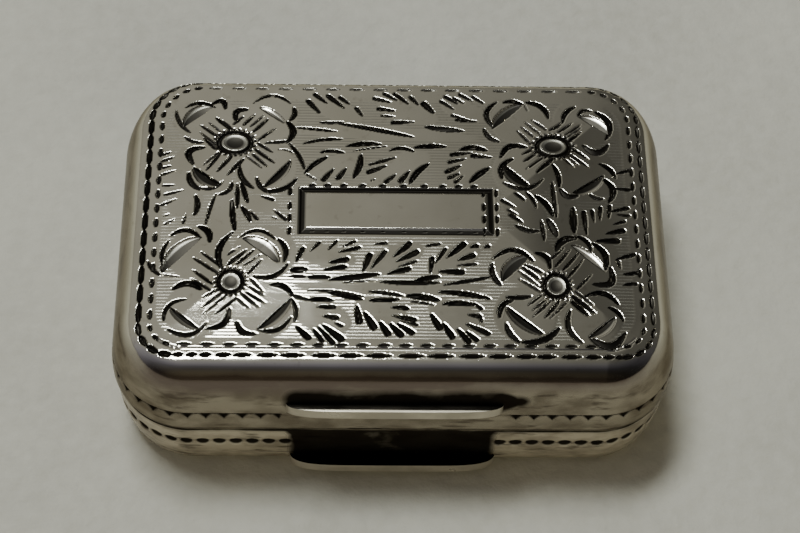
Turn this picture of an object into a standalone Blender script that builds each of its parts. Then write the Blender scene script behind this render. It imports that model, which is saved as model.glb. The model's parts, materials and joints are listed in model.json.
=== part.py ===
"""A silver vinaigrette: a small cushion-shaped box with a hinged lid and a hinged, pierced inner grille.

The base holds a sponge under the grille. The lid closes over a thin upstand, the bezel, and turns on a
stand-away hinge at the back. All lengths are real sizes in millimetres, times MM. The origin is the
middle of the resting face, +Z is up and the thumbpieces face -Y.
"""
import math

import bmesh
import bpy

MM = 0.001

# Overall sizes of the closed box, without thumbpieces and hinge
BODY_WIDTH = 37.7 * MM
BODY_DEPTH = 25.4 * MM
BODY_HEIGHT = 13.0 * MM
SEAM_HEIGHT = 5.8 * MM
CORNER_RADIUS = 5.35 * MM
SMALLEST_RADIUS = 0.4 * MM
WALL = 0.55 * MM

# Gaps between separate pieces
SEAM_GAP = 0.14 * MM
SEAT_GAP = 0.2 * MM
LIP_GAP = 0.1 * MM
PIN_CLEARANCE = 0.06 * MM
END_GAP = 0.16 * MM
CUT_OVERRUN = 2.0 * MM

# Lid section: a domed top plate, a round shoulder and a bulging wall that tucks in to the seam
PLATE_INSET = 2.3 * MM
PLATE_DOME = 0.6 * MM
BULGE_ABOVE_SEAM = 0.5 * MM
LID_TUCK = 0.15 * MM

# Base section: the wall leaves the seam and rolls under to the resting face
BASE_TUCK = 0.15 * MM
FOOT_INSET = 1.5 * MM

# Bezel, the upstand that the lid closes over, and the ledge below it, both on the front and the ends
BEZEL_THICKNESS = 0.4 * MM
BEZEL_RISE = 0.8 * MM
BACK_STOP = 5.4 * MM
LEDGE_THICKNESS = 0.45 * MM
LEDGE_WIDTH = 1.3 * MM

# Main hinge
BARREL_RADIUS = 0.85 * MM
BARREL_STAND_OUT = 0.75 * MM
END_OUTSET = 0.85 * MM
MID_KNUCKLE_HALF = 3.6 * MM
END_KNUCKLE_LENGTH = 6.5 * MM
KNUCKLE_CHAMFER = 0.1 * MM
PIN_RADIUS = 0.38 * MM
PLUG_DEPTH = 0.6 * MM
BEARER_WIDTH = 0.7 * MM
BEARER_HEIGHT = 1.7 * MM

# Grille and its hinge, inside the base
GRILLE_THICKNESS = 0.45 * MM
GRILLE_BELOW_SEAM = 0.6 * MM
GRILLE_BORDER = 1.7 * MM
GRILLE_BARREL_RADIUS = 0.5 * MM
GRILLE_PIN_RADIUS = 0.22 * MM
GRILLE_KNUCKLE_HALF = 4.0 * MM
SIDE_KNUCKLE_LENGTH = 3.2 * MM
TAB_LENGTH = 3.4 * MM
TAB_REACH = 0.9 * MM
TAB_THICKNESS = 0.35 * MM
TAB_END_POWER = 2.5

# Pierced work of the grille: two rosettes of swirling leaves, leaves in the corners and between the
# rosettes, and a row of small leaves along the front and back
WEB = 0.42 * MM
EYE_RADIUS = 0.7 * MM
INNER_LEAVES = 6
OUTER_LEAVES = 11
INNER_LEAF_LENGTH = 1.9 * MM
INNER_SPACING = 1.6 * WEB
OUTER_SPACING = 1.5 * WEB
CORNER_LEAF_LENGTH = 2.5 * MM
CORNER_LEAF_WIDTH = 1.55 * MM
MIDDLE_LEAF_LENGTH = 3.0 * MM
MIDDLE_LEAF_WIDTH = 1.75 * MM
SLIM_LEAF_LENGTH = 2.4 * MM
SLIM_LEAF_WIDTH = 0.75 * MM
ROW_LEAVES = 5
ROW_LEAF_LENGTH = 1.75 * MM
ROW_LEAF_WIDTH = 0.7 * MM
SWIRL_ANGLE = math.radians(35.5)
LEAF_BEND_SHARE = 0.16
LEAF_FULLEST_POWER = 0.8
LEAF_ROUND_POWER = 0.85

# Sponge in the base
SPONGE_EDGE = 0.6 * MM
SPONGE_CROWN = 0.35 * MM

# Thumbpieces, the two lips that the box is opened by
LID_LIP_LENGTH = 14.1 * MM
BASE_LIP_LENGTH = 13.9 * MM
LID_LIP_REACH = 0.6 * MM
BASE_LIP_REACH = 0.9 * MM
LID_LIP_HEIGHT = 0.94 * MM
BASE_LIP_HEIGHT = 0.92 * MM
LID_LIP_ABOVE_SEAM = 2.76 * MM
BASE_LIP_BELOW_SEAM = 3.8 * MM
LIP_BEVEL = 0.16 * MM
LIP_BEVEL_STEPS = 2
LIP_BEVEL_ANGLE = math.radians(50)
LIP_END_POWER = 6.0

# Shape powers of the two rolled sections, and the smoothness of the mesh
SHOULDER_POWER = 1.8
BASE_POWER = 2.6
CROWN_SHARES = (0.86, 0.62, 0.4, 0.2)
CORNER_STEPS = 9
SHOULDER_STEPS = 10
TUCK_STEPS = 3
ROUND_STEPS = 24
LEAF_STEPS = 7
LIP_STEPS = 26
SPONGE_SHARES = (0, 0.5, 1)
SMOOTH_ANGLE = math.radians(32)
MERGE_DISTANCE = 0.001 * MM
SCREW_MERGE_DISTANCE = 0.01 * MM

HALF_WIDTH = BODY_WIDTH / 2
HALF_DEPTH = BODY_DEPTH / 2
PLATE_EDGE_HEIGHT = BODY_HEIGHT - PLATE_DOME
BARREL_Y = HALF_DEPTH + BARREL_STAND_OUT - BARREL_RADIUS
GROOVE_RADIUS = BARREL_RADIUS + SEAT_GAP
BEARER_HALF_LENGTH = HALF_WIDTH - CORNER_RADIUS
END_HALF_WIDTH = HALF_WIDTH + END_OUTSET
END_HALF_DEPTH = HALF_DEPTH + BARREL_STAND_OUT + END_OUTSET
END_RADIUS = CORNER_RADIUS + END_OUTSET
GRILLE_TOP = SEAM_HEIGHT - GRILLE_BELOW_SEAM
GRILLE_BOTTOM = GRILLE_TOP - GRILLE_THICKNESS
GRILLE_Z = GRILLE_TOP - GRILLE_THICKNESS / 2
LEDGE_TOP = GRILLE_BOTTOM - SEAT_GAP
LEDGE_BOTTOM = LEDGE_TOP - LEDGE_THICKNESS

SILVER = (0.71, 0.69, 0.65, 1.0)
GILT = (0.80, 0.62, 0.34, 1.0)
PIN_SILVER = (0.52, 0.51, 0.49, 1.0)
SPONGE_COLOUR = (0.66, 0.52, 0.30, 1.0)


def clear_scene():
    """Start from an empty scene."""
    for item in list(bpy.data.objects):
        bpy.data.objects.remove(item, do_unlink=True)


def make_collection(name):
    """A collection linked to the scene."""
    collection = bpy.data.collections.new(name)
    bpy.context.scene.collection.children.link(collection)
    return collection


def principled(name, colour, metallic, roughness):
    """A plain Principled material."""
    material = bpy.data.materials.new(name)
    material.use_nodes = True
    shader = material.node_tree.nodes["Principled BSDF"]
    shader.inputs["Base Color"].default_value = colour
    shader.inputs["Metallic"].default_value = metallic
    shader.inputs["Roughness"].default_value = roughness
    material.diffuse_color = colour
    return material


def silver(name):
    """Worn, lightly tarnished silver of the outside."""
    return principled(name, SILVER, 1.0, 0.32)


def gilt(name):
    """Gilded silver of the inside."""
    return principled(name, GILT, 1.0, 0.28)


def pin_silver(name):
    """Darker drawn silver wire of the hinge pins."""
    return principled(name, PIN_SILVER, 1.0, 0.4)


def sponge_stuff(name):
    """Dry natural sponge."""
    return principled(name, SPONGE_COLOUR, 0.0, 0.95)


def add_object(name, mesh, collection, material=None):
    """Put a mesh in the scene as a named object."""
    item = bpy.data.objects.new(name, mesh)
    collection.objects.link(item)
    if material is not None:
        mesh.materials.append(material)
    return item


def shade_round(mesh):
    """Smooth shading that keeps real edges sharp."""
    mesh.shade_smooth()
    mesh.set_sharp_from_angle(angle=SMOOTH_ANGLE)


def hide_as_cutter(item):
    """Show a cutter as a wire, and leave it out of the model."""
    item.display_type = 'WIRE'
    item.hide_render = True
    return item


def hang_on(axis, item):
    """Parent a moving piece to the empty on its joint's axis without moving it."""
    item.parent = axis
    item.location = item.location - axis.location
    return item


def rounded_ring(inset, height, width=HALF_WIDTH, depth=HALF_DEPTH, radius=CORNER_RADIUS):
    """Points of a rounded rectangle, drawn in from the body's outline by inset."""
    half_width = width - inset
    half_depth = depth - inset
    corner = max(min(radius - inset, half_width, half_depth), SMALLEST_RADIUS)
    points = []
    for quarter in range(4):
        side_x = 1 if quarter in (0, 3) else -1
        side_y = 1 if quarter in (0, 1) else -1
        centre_x = side_x * (half_width - corner)
        centre_y = side_y * (half_depth - corner)
        for step in range(CORNER_STEPS + 1):
            angle = math.pi / 2 * (quarter + step / CORNER_STEPS)
            points.append((centre_x + corner * math.cos(angle), centre_y + corner * math.sin(angle), height))
    return points


def loft(name, rings, closed=False):
    """A closed body through rings of equal point counts: capped at both ends, or joined end to end."""
    body = bmesh.new()
    loops = [[body.verts.new(point) for point in ring] for ring in rings]
    if closed:
        pairs = list(zip(loops, loops[1:] + loops[:1]))
    else:
        pairs = list(zip(loops, loops[1:]))
        body.faces.new(loops[0])
        body.faces.new(loops[-1])
    for first, second in pairs:
        count = len(first)
        for index in range(count):
            after = (index + 1) % count
            body.faces.new((first[index], first[after], second[after], second[index]))
    bmesh.ops.recalc_face_normals(body, faces=body.faces)
    mesh = bpy.data.meshes.new(name)
    body.to_mesh(mesh)
    body.free()
    return mesh


def offset_section(section, distance):
    """The section moved inwards, square to itself, which keeps a pressed wall at one thickness."""
    moved = []
    last = len(section) - 1
    for index, (inset, height) in enumerate(section):
        before = section[max(index - 1, 0)]
        after = section[min(index + 1, last)]
        run = after[0] - before[0]
        rise = after[1] - before[1]
        length = math.hypot(run, rise)
        moved.append((inset - distance * rise / length, height + distance * run / length))
    return moved


def inset_at(section, height):
    """Inset of a section where it passes a height."""
    best = None
    for first, second in zip(section, section[1:]):
        low, high = sorted((first[1], second[1]))
        if low <= height <= high and high > low:
            share = (height - first[1]) / (second[1] - first[1])
            best = first[0] + share * (second[0] - first[0])
    if best is None:
        ends = min(section, key=lambda point: abs(point[1] - height))
        best = ends[0]
    return best


def widest_inset(section, low, high):
    """Largest inset of a section over a stretch of height, checked at both ends and the middle."""
    return max(inset_at(section, low), inset_at(section, (low + high) / 2), inset_at(section, high))


def rolled_corner(start_inset, reach, start_height, drop, power):
    """Quarter superellipse as (inset, height): from upright at the start to level at the end."""
    points = []
    for step in range(SHOULDER_STEPS + 1):
        angle = math.pi / 2 * step / SHOULDER_STEPS
        inset = start_inset + reach * (1 - math.cos(angle) ** (2 / power))
        height = start_height + drop * math.sin(angle) ** (2 / power)
        points.append((inset, height))
    return points


def lid_section():
    """Outer section of the lid, from the middle of the plate over the shoulder to the seam."""
    points = []
    for share in CROWN_SHARES:
        fall = 1 - share / CROWN_SHARES[0]
        inset = PLATE_INSET + (HALF_DEPTH - PLATE_INSET) * share
        points.append((inset, PLATE_EDGE_HEIGHT + PLATE_DOME * (1 - fall ** 2)))
    widest = SEAM_HEIGHT + BULGE_ABOVE_SEAM
    shoulder = rolled_corner(0, PLATE_INSET, widest, PLATE_EDGE_HEIGHT - widest, SHOULDER_POWER)
    points.extend(reversed(shoulder))
    drop = BULGE_ABOVE_SEAM - SEAM_GAP / 2
    for step in range(1, TUCK_STEPS + 1):
        share = step / TUCK_STEPS
        points.append((LID_TUCK * share ** 2, widest - drop * share))
    return points


def base_section():
    """Outer section of the base, from the seam under to the resting face."""
    rim = SEAM_HEIGHT - SEAM_GAP / 2
    return rolled_corner(BASE_TUCK, FOOT_INSET - BASE_TUCK, rim, -rim, BASE_POWER)


def lid_inner_section(outer):
    """Inner side of the lid: the offset of the pressed part, then straight in from the tucked rim."""
    pressed = offset_section(outer[:-TUCK_STEPS], WALL)
    return pressed + [(inset + WALL, height) for inset, height in outer[-TUCK_STEPS:]]


def base_inner_section(outer):
    """Inner side of the base, with its rim level with the outer one."""
    pressed = offset_section(outer, WALL)
    return [(pressed[0][0], outer[0][1])] + pressed[1:]


LID_OUTER = lid_section()
LID_INNER = lid_inner_section(LID_OUTER)
BASE_OUTER = base_section()
BASE_INNER = base_inner_section(BASE_OUTER)


def filed_end(place_y):
    """How far out the filed outline of the barrel's ends lies, at a distance behind the box's middle."""
    across = max(place_y - (END_HALF_DEPTH - END_RADIUS), 0)
    return END_HALF_WIDTH - END_RADIUS + math.sqrt(END_RADIUS ** 2 - across ** 2)


BARREL_HALF_LENGTH = filed_end(BARREL_Y - BARREL_RADIUS)
PLUG_START = filed_end(BARREL_Y + PIN_RADIUS) - PLUG_DEPTH


def groove_cutter(cutters):
    """Round channel that clears the hinge barrel, cut out of both shells and both bearers."""
    length = 2 * (BARREL_HALF_LENGTH + END_GAP)
    return hide_as_cutter(rod("barrel_groove", GROOVE_RADIUS, length, BARREL_Y, SEAM_HEIGHT, cutters))


def end_outline_cutter(cutters):
    """Plan outline that the barrel's ends are filed to, so that they follow the box's corners."""
    low = SEAM_HEIGHT - BARREL_RADIUS - CUT_OVERRUN
    high = SEAM_HEIGHT + BARREL_RADIUS + CUT_OVERRUN
    rings = [rounded_ring(0, height, END_HALF_WIDTH, END_HALF_DEPTH, END_RADIUS) for height in (low, high)]
    return hide_as_cutter(add_object("barrel_end_outline", loft("barrel_end_outline", rings), cutters))


def rod(name, radius, length, place_y, place_z, collection, material=None, place_x=0):
    """A round bar along X, centred on a point."""
    body = bmesh.new()
    bmesh.ops.create_cone(body, cap_ends=True, segments=ROUND_STEPS, radius1=radius, radius2=radius,
                          depth=length)
    mesh = bpy.data.meshes.new(name)
    body.to_mesh(mesh)
    body.free()
    shade_round(mesh)
    item = add_object(name, mesh, collection, material)
    item.rotation_euler = (0, math.pi / 2, 0)
    item.location = (place_x, place_y, place_z)
    return item


def knuckle(name, radius, bore, start, end, place_y, place_z, collection, material):
    """One hinge tube along X with eased ends, turned from its section."""
    length = end - start
    outline = (
        (radius, length - KNUCKLE_CHAMFER),
        (radius, KNUCKLE_CHAMFER),
        (radius - KNUCKLE_CHAMFER, 0),
        (bore, 0),
        (bore, length),
        (radius - KNUCKLE_CHAMFER, length),
    )
    section = bmesh.new()
    corners = [section.verts.new((out, 0, along)) for out, along in outline]
    for first, second in zip(corners, corners[1:] + corners[:1]):
        section.edges.new((first, second))
    mesh = bpy.data.meshes.new(name)
    section.to_mesh(mesh)
    section.free()
    item = add_object(name, mesh, collection, material)
    turn = item.modifiers.new("turn", 'SCREW')
    turn.steps = ROUND_STEPS
    turn.render_steps = ROUND_STEPS
    turn.use_smooth_shade = True
    turn.merge_threshold = SCREW_MERGE_DISTANCE
    item.rotation_euler = (0, math.pi / 2, 0)
    item.location = (start, place_y, place_z)
    return item


def cut_with(item, cutter, operation='DIFFERENCE'):
    """Boolean an object with a cutter."""
    change = item.modifiers.new("cut", 'BOOLEAN')
    change.operation = operation
    change.solver = 'EXACT'
    change.object = cutter
    return item


def block(name, low, high, collection, material=None):
    """A box between two corners."""
    body = bmesh.new()
    bmesh.ops.create_cube(body, size=1.0)
    for vert in body.verts:
        for axis in range(3):
            vert.co[axis] = low[axis] if vert.co[axis] < 0 else high[axis]
    mesh = bpy.data.meshes.new(name)
    body.to_mesh(mesh)
    body.free()
    return add_object(name, mesh, collection, material)


def flat_piece(name, outlines, bottom, thickness, collection, material):
    """A flat plate from closed outlines; outlines inside the first are holes."""
    curve = bpy.data.curves.new(name + "_outline", 'CURVE')
    curve.dimensions = '2D'
    curve.fill_mode = 'BOTH'
    curve.extrude = thickness / 2
    for outline in outlines:
        spline = curve.splines.new('POLY')
        spline.points.add(len(outline) - 1)
        for point, (x, y) in zip(spline.points, outline):
            point.co = (x, y, 0, 1)
        spline.use_cyclic_u = True
    drawn = bpy.data.objects.new(name + "_outline", curve)
    collection.objects.link(drawn)
    mesh = bpy.data.meshes.new_from_object(drawn.evaluated_get(bpy.context.evaluated_depsgraph_get()))
    bpy.data.objects.remove(drawn, do_unlink=True)
    body = bmesh.new()
    body.from_mesh(mesh)
    bmesh.ops.remove_doubles(body, verts=body.verts, dist=MERGE_DISTANCE)
    bmesh.ops.recalc_face_normals(body, faces=body.faces)
    body.to_mesh(mesh)
    body.free()
    mesh.name = name
    mesh.materials.clear()
    item = add_object(name, mesh, collection, material)
    item.location = (0, 0, bottom + thickness / 2)
    return item


def lid_shell(collection, groove):
    """Lid: one pressed wall from the domed plate down to the seam."""
    rings = [rounded_ring(inset, height) for inset, height in LID_OUTER + LID_INNER[::-1]]
    mesh = loft("lid_shell", rings)
    shade_round(mesh)
    return cut_with(add_object("lid_shell", mesh, collection, silver("lid_silver")), groove)


def base_shell(collection, groove):
    """Base: a shallow tray of the same outline with a flat resting face."""
    rings = [rounded_ring(inset, height) for inset, height in BASE_INNER[::-1] + BASE_OUTER]
    mesh = loft("base_shell", rings)
    shade_round(mesh)
    return cut_with(add_object("base_shell", mesh, collection, silver("base_silver")), groove)


def three_sided_band(name, outer_inset, inner_inset, low, high, collection, material, back_gap):
    """A strip bent round the front and both ends, open at the back where the hinge is."""
    corners = ((outer_inset, low), (outer_inset, high), (inner_inset, high), (inner_inset, low))
    rings = [rounded_ring(inset, height) for inset, height in corners]
    mesh = loft(name, rings, closed=True)
    shade_round(mesh)
    return cut_with(add_object(name, mesh, collection, material), back_gap)


BEZEL_LOW = LEDGE_TOP + SEAT_GAP
BEZEL_HIGH = SEAM_HEIGHT + BEZEL_RISE
BASE_RIM_INSET = widest_inset(BASE_INNER, BEZEL_LOW, BASE_INNER[0][1])
LID_RIM_INSET = widest_inset(LID_INNER, LID_INNER[-1][1], BEZEL_HIGH)
BEZEL_OUTER = max(BASE_RIM_INSET, LID_RIM_INSET) + SEAT_GAP
BEZEL_INNER = BEZEL_OUTER + BEZEL_THICKNESS
GRILLE_INSET = BEZEL_INNER + SEAT_GAP
BEARER_LOW = SEAM_HEIGHT - BEARER_HEIGHT
BEARER_HIGH = SEAM_HEIGHT + BEARER_HEIGHT
BASE_BACK_INSET = widest_inset(BASE_INNER, BEARER_LOW, BASE_INNER[0][1])
LID_BACK_INSET = widest_inset(LID_INNER, LID_INNER[-1][1], BEARER_HIGH)
BEARER_BACK = HALF_DEPTH - max(BASE_BACK_INSET, LID_BACK_INSET) - SEAT_GAP
BEARER_FRONT = BEARER_BACK - BEARER_WIDTH
GRILLE_Y = BEARER_FRONT - SEAT_GAP - GRILLE_BARREL_RADIUS
GRILLE_BACK = GRILLE_Y - GRILLE_BARREL_RADIUS - SEAT_GAP
GRILLE_FRONT = -(HALF_DEPTH - GRILLE_INSET)


def back_gap_cutter(cutters):
    """Box that opens the bezel and the ledge at the back."""
    low = (-BODY_WIDTH, HALF_DEPTH - BACK_STOP, -CUT_OVERRUN)
    high = (BODY_WIDTH, HALF_DEPTH + CUT_OVERRUN, BODY_HEIGHT + CUT_OVERRUN)
    return hide_as_cutter(block("back_gap", low, high, cutters))


def bearer(name, low, high, collection, material, groove):
    """Strip along the back wall that the hinge knuckles are soldered to."""
    near = (-BEARER_HALF_LENGTH, BEARER_FRONT, low)
    far = (BEARER_HALF_LENGTH, BEARER_BACK, high)
    return cut_with(block(name, near, far, collection, material), groove)


def main_hinge(collection, lid_axis, end_outline):
    """Five knuckles, the pin through them and the plugs that close the tube's ends."""
    bore = PIN_RADIUS + PIN_CLEARANCE
    lid_start = MID_KNUCKLE_HALF + END_GAP
    end_start = BARREL_HALF_LENGTH - END_KNUCKLE_LENGTH
    lid_end = end_start - END_GAP
    plug_length = BARREL_HALF_LENGTH - PLUG_START
    plug_middle = (BARREL_HALF_LENGTH + PLUG_START) / 2
    place = (BARREL_Y, SEAM_HEIGHT, collection)
    knuckle("base_knuckle_middle", BARREL_RADIUS, bore, -MID_KNUCKLE_HALF, MID_KNUCKLE_HALF, *place,
            silver("middle_knuckle_silver"))
    for side, label in ((-1, "left"), (1, "right")):
        start, end = sorted((side * lid_start, side * lid_end))
        lid_tube = knuckle("lid_knuckle_" + label, BARREL_RADIUS, bore, start, end, *place,
                           silver("lid_knuckle_silver"))
        hang_on(lid_axis, lid_tube)
        start, end = sorted((side * end_start, side * BARREL_HALF_LENGTH))
        end_tube = knuckle("base_knuckle_" + label, BARREL_RADIUS, bore, start, end, *place,
                           silver("end_knuckle_silver"))
        cut_with(end_tube, end_outline, 'INTERSECT')
        plug = rod("hinge_plug_" + label, PIN_RADIUS, plug_length, *place, silver("plug_silver"),
                   side * plug_middle)
        cut_with(plug, end_outline, 'INTERSECT')
    pin_length = 2 * (PLUG_START - END_GAP)
    rod("hinge_pin", PIN_RADIUS, pin_length, *place, pin_silver("hinge_pin_silver"))


def grille_hinge(collection, grille_axis):
    """Small three-knuckle hinge that lets the grille lift inside the base."""
    bore = GRILLE_PIN_RADIUS + PIN_CLEARANCE
    place = (GRILLE_Y, GRILLE_Z, collection)
    middle = knuckle("grille_knuckle", GRILLE_BARREL_RADIUS, bore, -GRILLE_KNUCKLE_HALF, GRILLE_KNUCKLE_HALF,
                     *place, gilt("grille_knuckle_gilt"))
    hang_on(grille_axis, middle)
    near = GRILLE_KNUCKLE_HALF + END_GAP
    for side, label in ((-1, "left"), (1, "right")):
        start, end = sorted((side * near, side * (near + SIDE_KNUCKLE_LENGTH)))
        knuckle("grille_side_knuckle_" + label, GRILLE_BARREL_RADIUS, bore, start, end, *place,
                gilt("grille_side_knuckle_gilt"))
    pin_length = 2 * (near + SIDE_KNUCKLE_LENGTH)
    rod("grille_pin", GRILLE_PIN_RADIUS, pin_length, *place, pin_silver("grille_pin_silver"))


def circle_outline(centre_x, centre_y, radius, steps):
    """A round hole."""
    turns = [2 * math.pi * step / steps for step in range(steps)]
    return [(centre_x + radius * math.cos(turn), centre_y + radius * math.sin(turn)) for turn in turns]


def leaf_outline(centre_x, centre_y, length, width, angle, bend_share=0):
    """A pointed leaf, widest past its middle, along a bent midrib."""
    along_x, along_y = math.cos(angle), math.sin(angle)
    left, right = [], []
    for step in range(LEAF_STEPS + 1):
        share = step / LEAF_STEPS
        half = 0
        if 0 < step < LEAF_STEPS:
            half = width / 2 * math.sin(math.pi * share ** LEAF_FULLEST_POWER) ** LEAF_ROUND_POWER
        run = (share - 0.5) * length
        sweep = bend_share * length * (4 * share * (1 - share) - 0.5)
        x = centre_x + along_x * run - along_y * sweep
        y = centre_y + along_y * run + along_x * sweep
        left.append((x - along_y * half, y + along_x * half))
        right.append((x + along_y * half, y - along_x * half))
    return left + right[-2:0:-1]


def rosette_holes(centre_x, centre_y, reach, hand):
    """An eye, a ring of upright petals and a ring of leaves that swirl to one hand."""
    holes = [circle_outline(centre_x, centre_y, EYE_RADIUS, 2 * LEAF_STEPS)]
    inner_radius = EYE_RADIUS + WEB + INNER_LEAF_LENGTH / 2
    inner_width = 2 * math.pi * inner_radius / INNER_LEAVES - INNER_SPACING
    for index in range(INNER_LEAVES):
        turn = 2 * math.pi * (index + 0.5) / INNER_LEAVES
        x = centre_x + inner_radius * math.cos(turn)
        y = centre_y + inner_radius * math.sin(turn)
        holes.append(leaf_outline(x, y, INNER_LEAF_LENGTH, inner_width, turn))
    inside = inner_radius + INNER_LEAF_LENGTH / 2 + WEB
    outer_radius = (inside + reach) / 2
    outer_length = (reach - inside) / math.cos(SWIRL_ANGLE)
    outer_width = 2 * math.pi * outer_radius / OUTER_LEAVES * math.cos(SWIRL_ANGLE) - OUTER_SPACING
    for index in range(OUTER_LEAVES):
        turn = hand * 2 * math.pi * index / OUTER_LEAVES
        x = centre_x + hand * outer_radius * math.cos(turn)
        y = centre_y + outer_radius * math.sin(turn)
        lean = math.atan2(y - centre_y, x - centre_x) + hand * SWIRL_ANGLE
        holes.append(leaf_outline(x, y, outer_length, outer_width, lean, -hand * LEAF_BEND_SHARE))
    return holes


def corner_hole(rosette_x, middle_y, reach, side, end):
    """A leaf that points out of a rosette into a corner of the plate."""
    turn = math.atan2(end, side)
    distance = reach + WEB + CORNER_LEAF_LENGTH / 2
    x = rosette_x + distance * math.cos(turn)
    y = middle_y + distance * math.sin(turn)
    return leaf_outline(x, y, CORNER_LEAF_LENGTH, CORNER_LEAF_WIDTH, turn)


def row_holes(side, row_y, field_width):
    """Small leaves in a row between the middle leaf and a corner leaf."""
    first = MIDDLE_LEAF_WIDTH / 2 + WEB + ROW_LEAF_LENGTH / 2
    last = field_width - CORNER_LEAF_LENGTH / math.sqrt(2) - WEB - ROW_LEAF_LENGTH / 2
    pitch = (last - first) / (ROW_LEAVES - 1)
    turn = 0 if side > 0 else math.pi
    places = [side * (first + pitch * index) for index in range(ROW_LEAVES)]
    return [leaf_outline(x, row_y, ROW_LEAF_LENGTH, ROW_LEAF_WIDTH, turn) for x in places]


def grille_holes(field_width, field_depth, middle_y):
    """All piercings of the plate."""
    row_room = 1.5 * ROW_LEAF_WIDTH + WEB
    reach = min((field_width - WEB) / 2, field_depth - row_room)
    upright = math.pi / 2
    holes = []
    for side in (-1, 1):
        rosette_x = side * field_width / 2
        holes.extend(rosette_holes(rosette_x, middle_y, reach, side))
        for end in (-1, 1):
            holes.append(corner_hole(rosette_x, middle_y, reach, side, end))
            row_y = middle_y + end * (field_depth - ROW_LEAF_WIDTH)
            holes.extend(row_holes(side, row_y, field_width))
    for end in (-1, 1):
        middle_leaf = field_depth - MIDDLE_LEAF_LENGTH / 2
        slim_leaf = field_depth - MIDDLE_LEAF_LENGTH - WEB - SLIM_LEAF_LENGTH / 2
        holes.append(leaf_outline(0, middle_y + end * middle_leaf, MIDDLE_LEAF_LENGTH, MIDDLE_LEAF_WIDTH,
                                  end * upright))
        holes.append(leaf_outline(0, middle_y + end * slim_leaf, SLIM_LEAF_LENGTH, SLIM_LEAF_WIDTH,
                                  end * upright))
    return holes


def grille_outline():
    """Outline of the plate: it follows the bezel all round, and is cut straight in front of its hinge."""
    return [(x, min(y, GRILLE_BACK)) for x, y, height in rounded_ring(GRILLE_INSET, 0)]


def grille_plate(collection, grille_axis):
    """Pierced gilt plate that keeps the sponge down."""
    middle_y = (GRILLE_FRONT + GRILLE_BACK) / 2
    field_width = HALF_WIDTH - GRILLE_INSET - GRILLE_BORDER
    field_depth = (GRILLE_BACK - GRILLE_FRONT) / 2 - GRILLE_BORDER
    outlines = [grille_outline()] + grille_holes(field_width, field_depth, middle_y)
    plate = flat_piece("grille_plate", outlines, GRILLE_BOTTOM, GRILLE_THICKNESS, collection,
                       gilt("grille_gilt"))
    return hang_on(grille_axis, plate)


def lip_outline(half_length, reach, wall_y, power):
    """Flat-fronted half round: straight along the wall, full in the middle, eased at both ends."""
    points = []
    for step in range(LIP_STEPS + 1):
        angle = math.pi * step / LIP_STEPS
        along = math.copysign(abs(math.cos(angle)) ** (2 / power), math.cos(angle))
        points.append((half_length * along, wall_y - reach * math.sin(angle)))
    return points


def grille_tab(collection, grille_axis):
    """Small half-round lip on the grille's front border to lift it by."""
    front = GRILLE_FRONT + LIP_GAP
    outline = lip_outline(TAB_LENGTH / 2, -TAB_REACH, front, TAB_END_POWER)
    bottom = GRILLE_TOP + LIP_GAP
    tab = flat_piece("grille_tab", [outline], bottom, TAB_THICKNESS, collection, gilt("tab_gilt"))
    return hang_on(grille_axis, tab)


def thumbpiece(name, size, low, section, collection, material):
    """One opening lip, soldered to the front wall. Its size is length, reach and height."""
    length, reach, height = size
    wall_y = -(HALF_DEPTH - min(inset_at(section, low), inset_at(section, low + height))) - LIP_GAP
    outline = lip_outline(length / 2, reach, wall_y, LIP_END_POWER)
    lip = flat_piece(name, [outline], low, height, collection, material)
    ease = lip.modifiers.new("ease", 'BEVEL')
    ease.width = LIP_BEVEL
    ease.segments = LIP_BEVEL_STEPS
    ease.limit_method = 'ANGLE'
    ease.angle_limit = LIP_BEVEL_ANGLE
    return lip


def sponge(collection):
    """Sponge pad that fills the base under the grille, crowned in the middle."""
    low = WALL + SEAT_GAP
    high = LEDGE_BOTTOM - SEAT_GAP
    side = inset_at(BASE_INNER, low + SPONGE_EDGE) + SEAT_GAP
    edge = []
    for share in SPONGE_SHARES:
        angle = math.pi / 2 * share
        edge.append((side + SPONGE_EDGE * (1 - math.sin(angle)), SPONGE_EDGE * (1 - math.cos(angle))))
    rings = [rounded_ring(inset, low + rise) for inset, rise in edge]
    rings.extend(rounded_ring(inset, high - rise) for inset, rise in reversed(edge))
    crown_top = min(high + SPONGE_CROWN, GRILLE_BOTTOM - SEAT_GAP)
    rings.append(rounded_ring(side + LEDGE_WIDTH + 2 * SPONGE_EDGE, crown_top))
    mesh = loft("sponge", rings)
    shade_round(mesh)
    return add_object("sponge", mesh, collection, sponge_stuff("sponge_stuff"))


def axis_empty(name, place_y, place_z, collection):
    """Empty on a joint's axis."""
    empty = bpy.data.objects.new(name, None)
    empty.location = (0, place_y, place_z)
    collection.objects.link(empty)
    return empty


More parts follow.
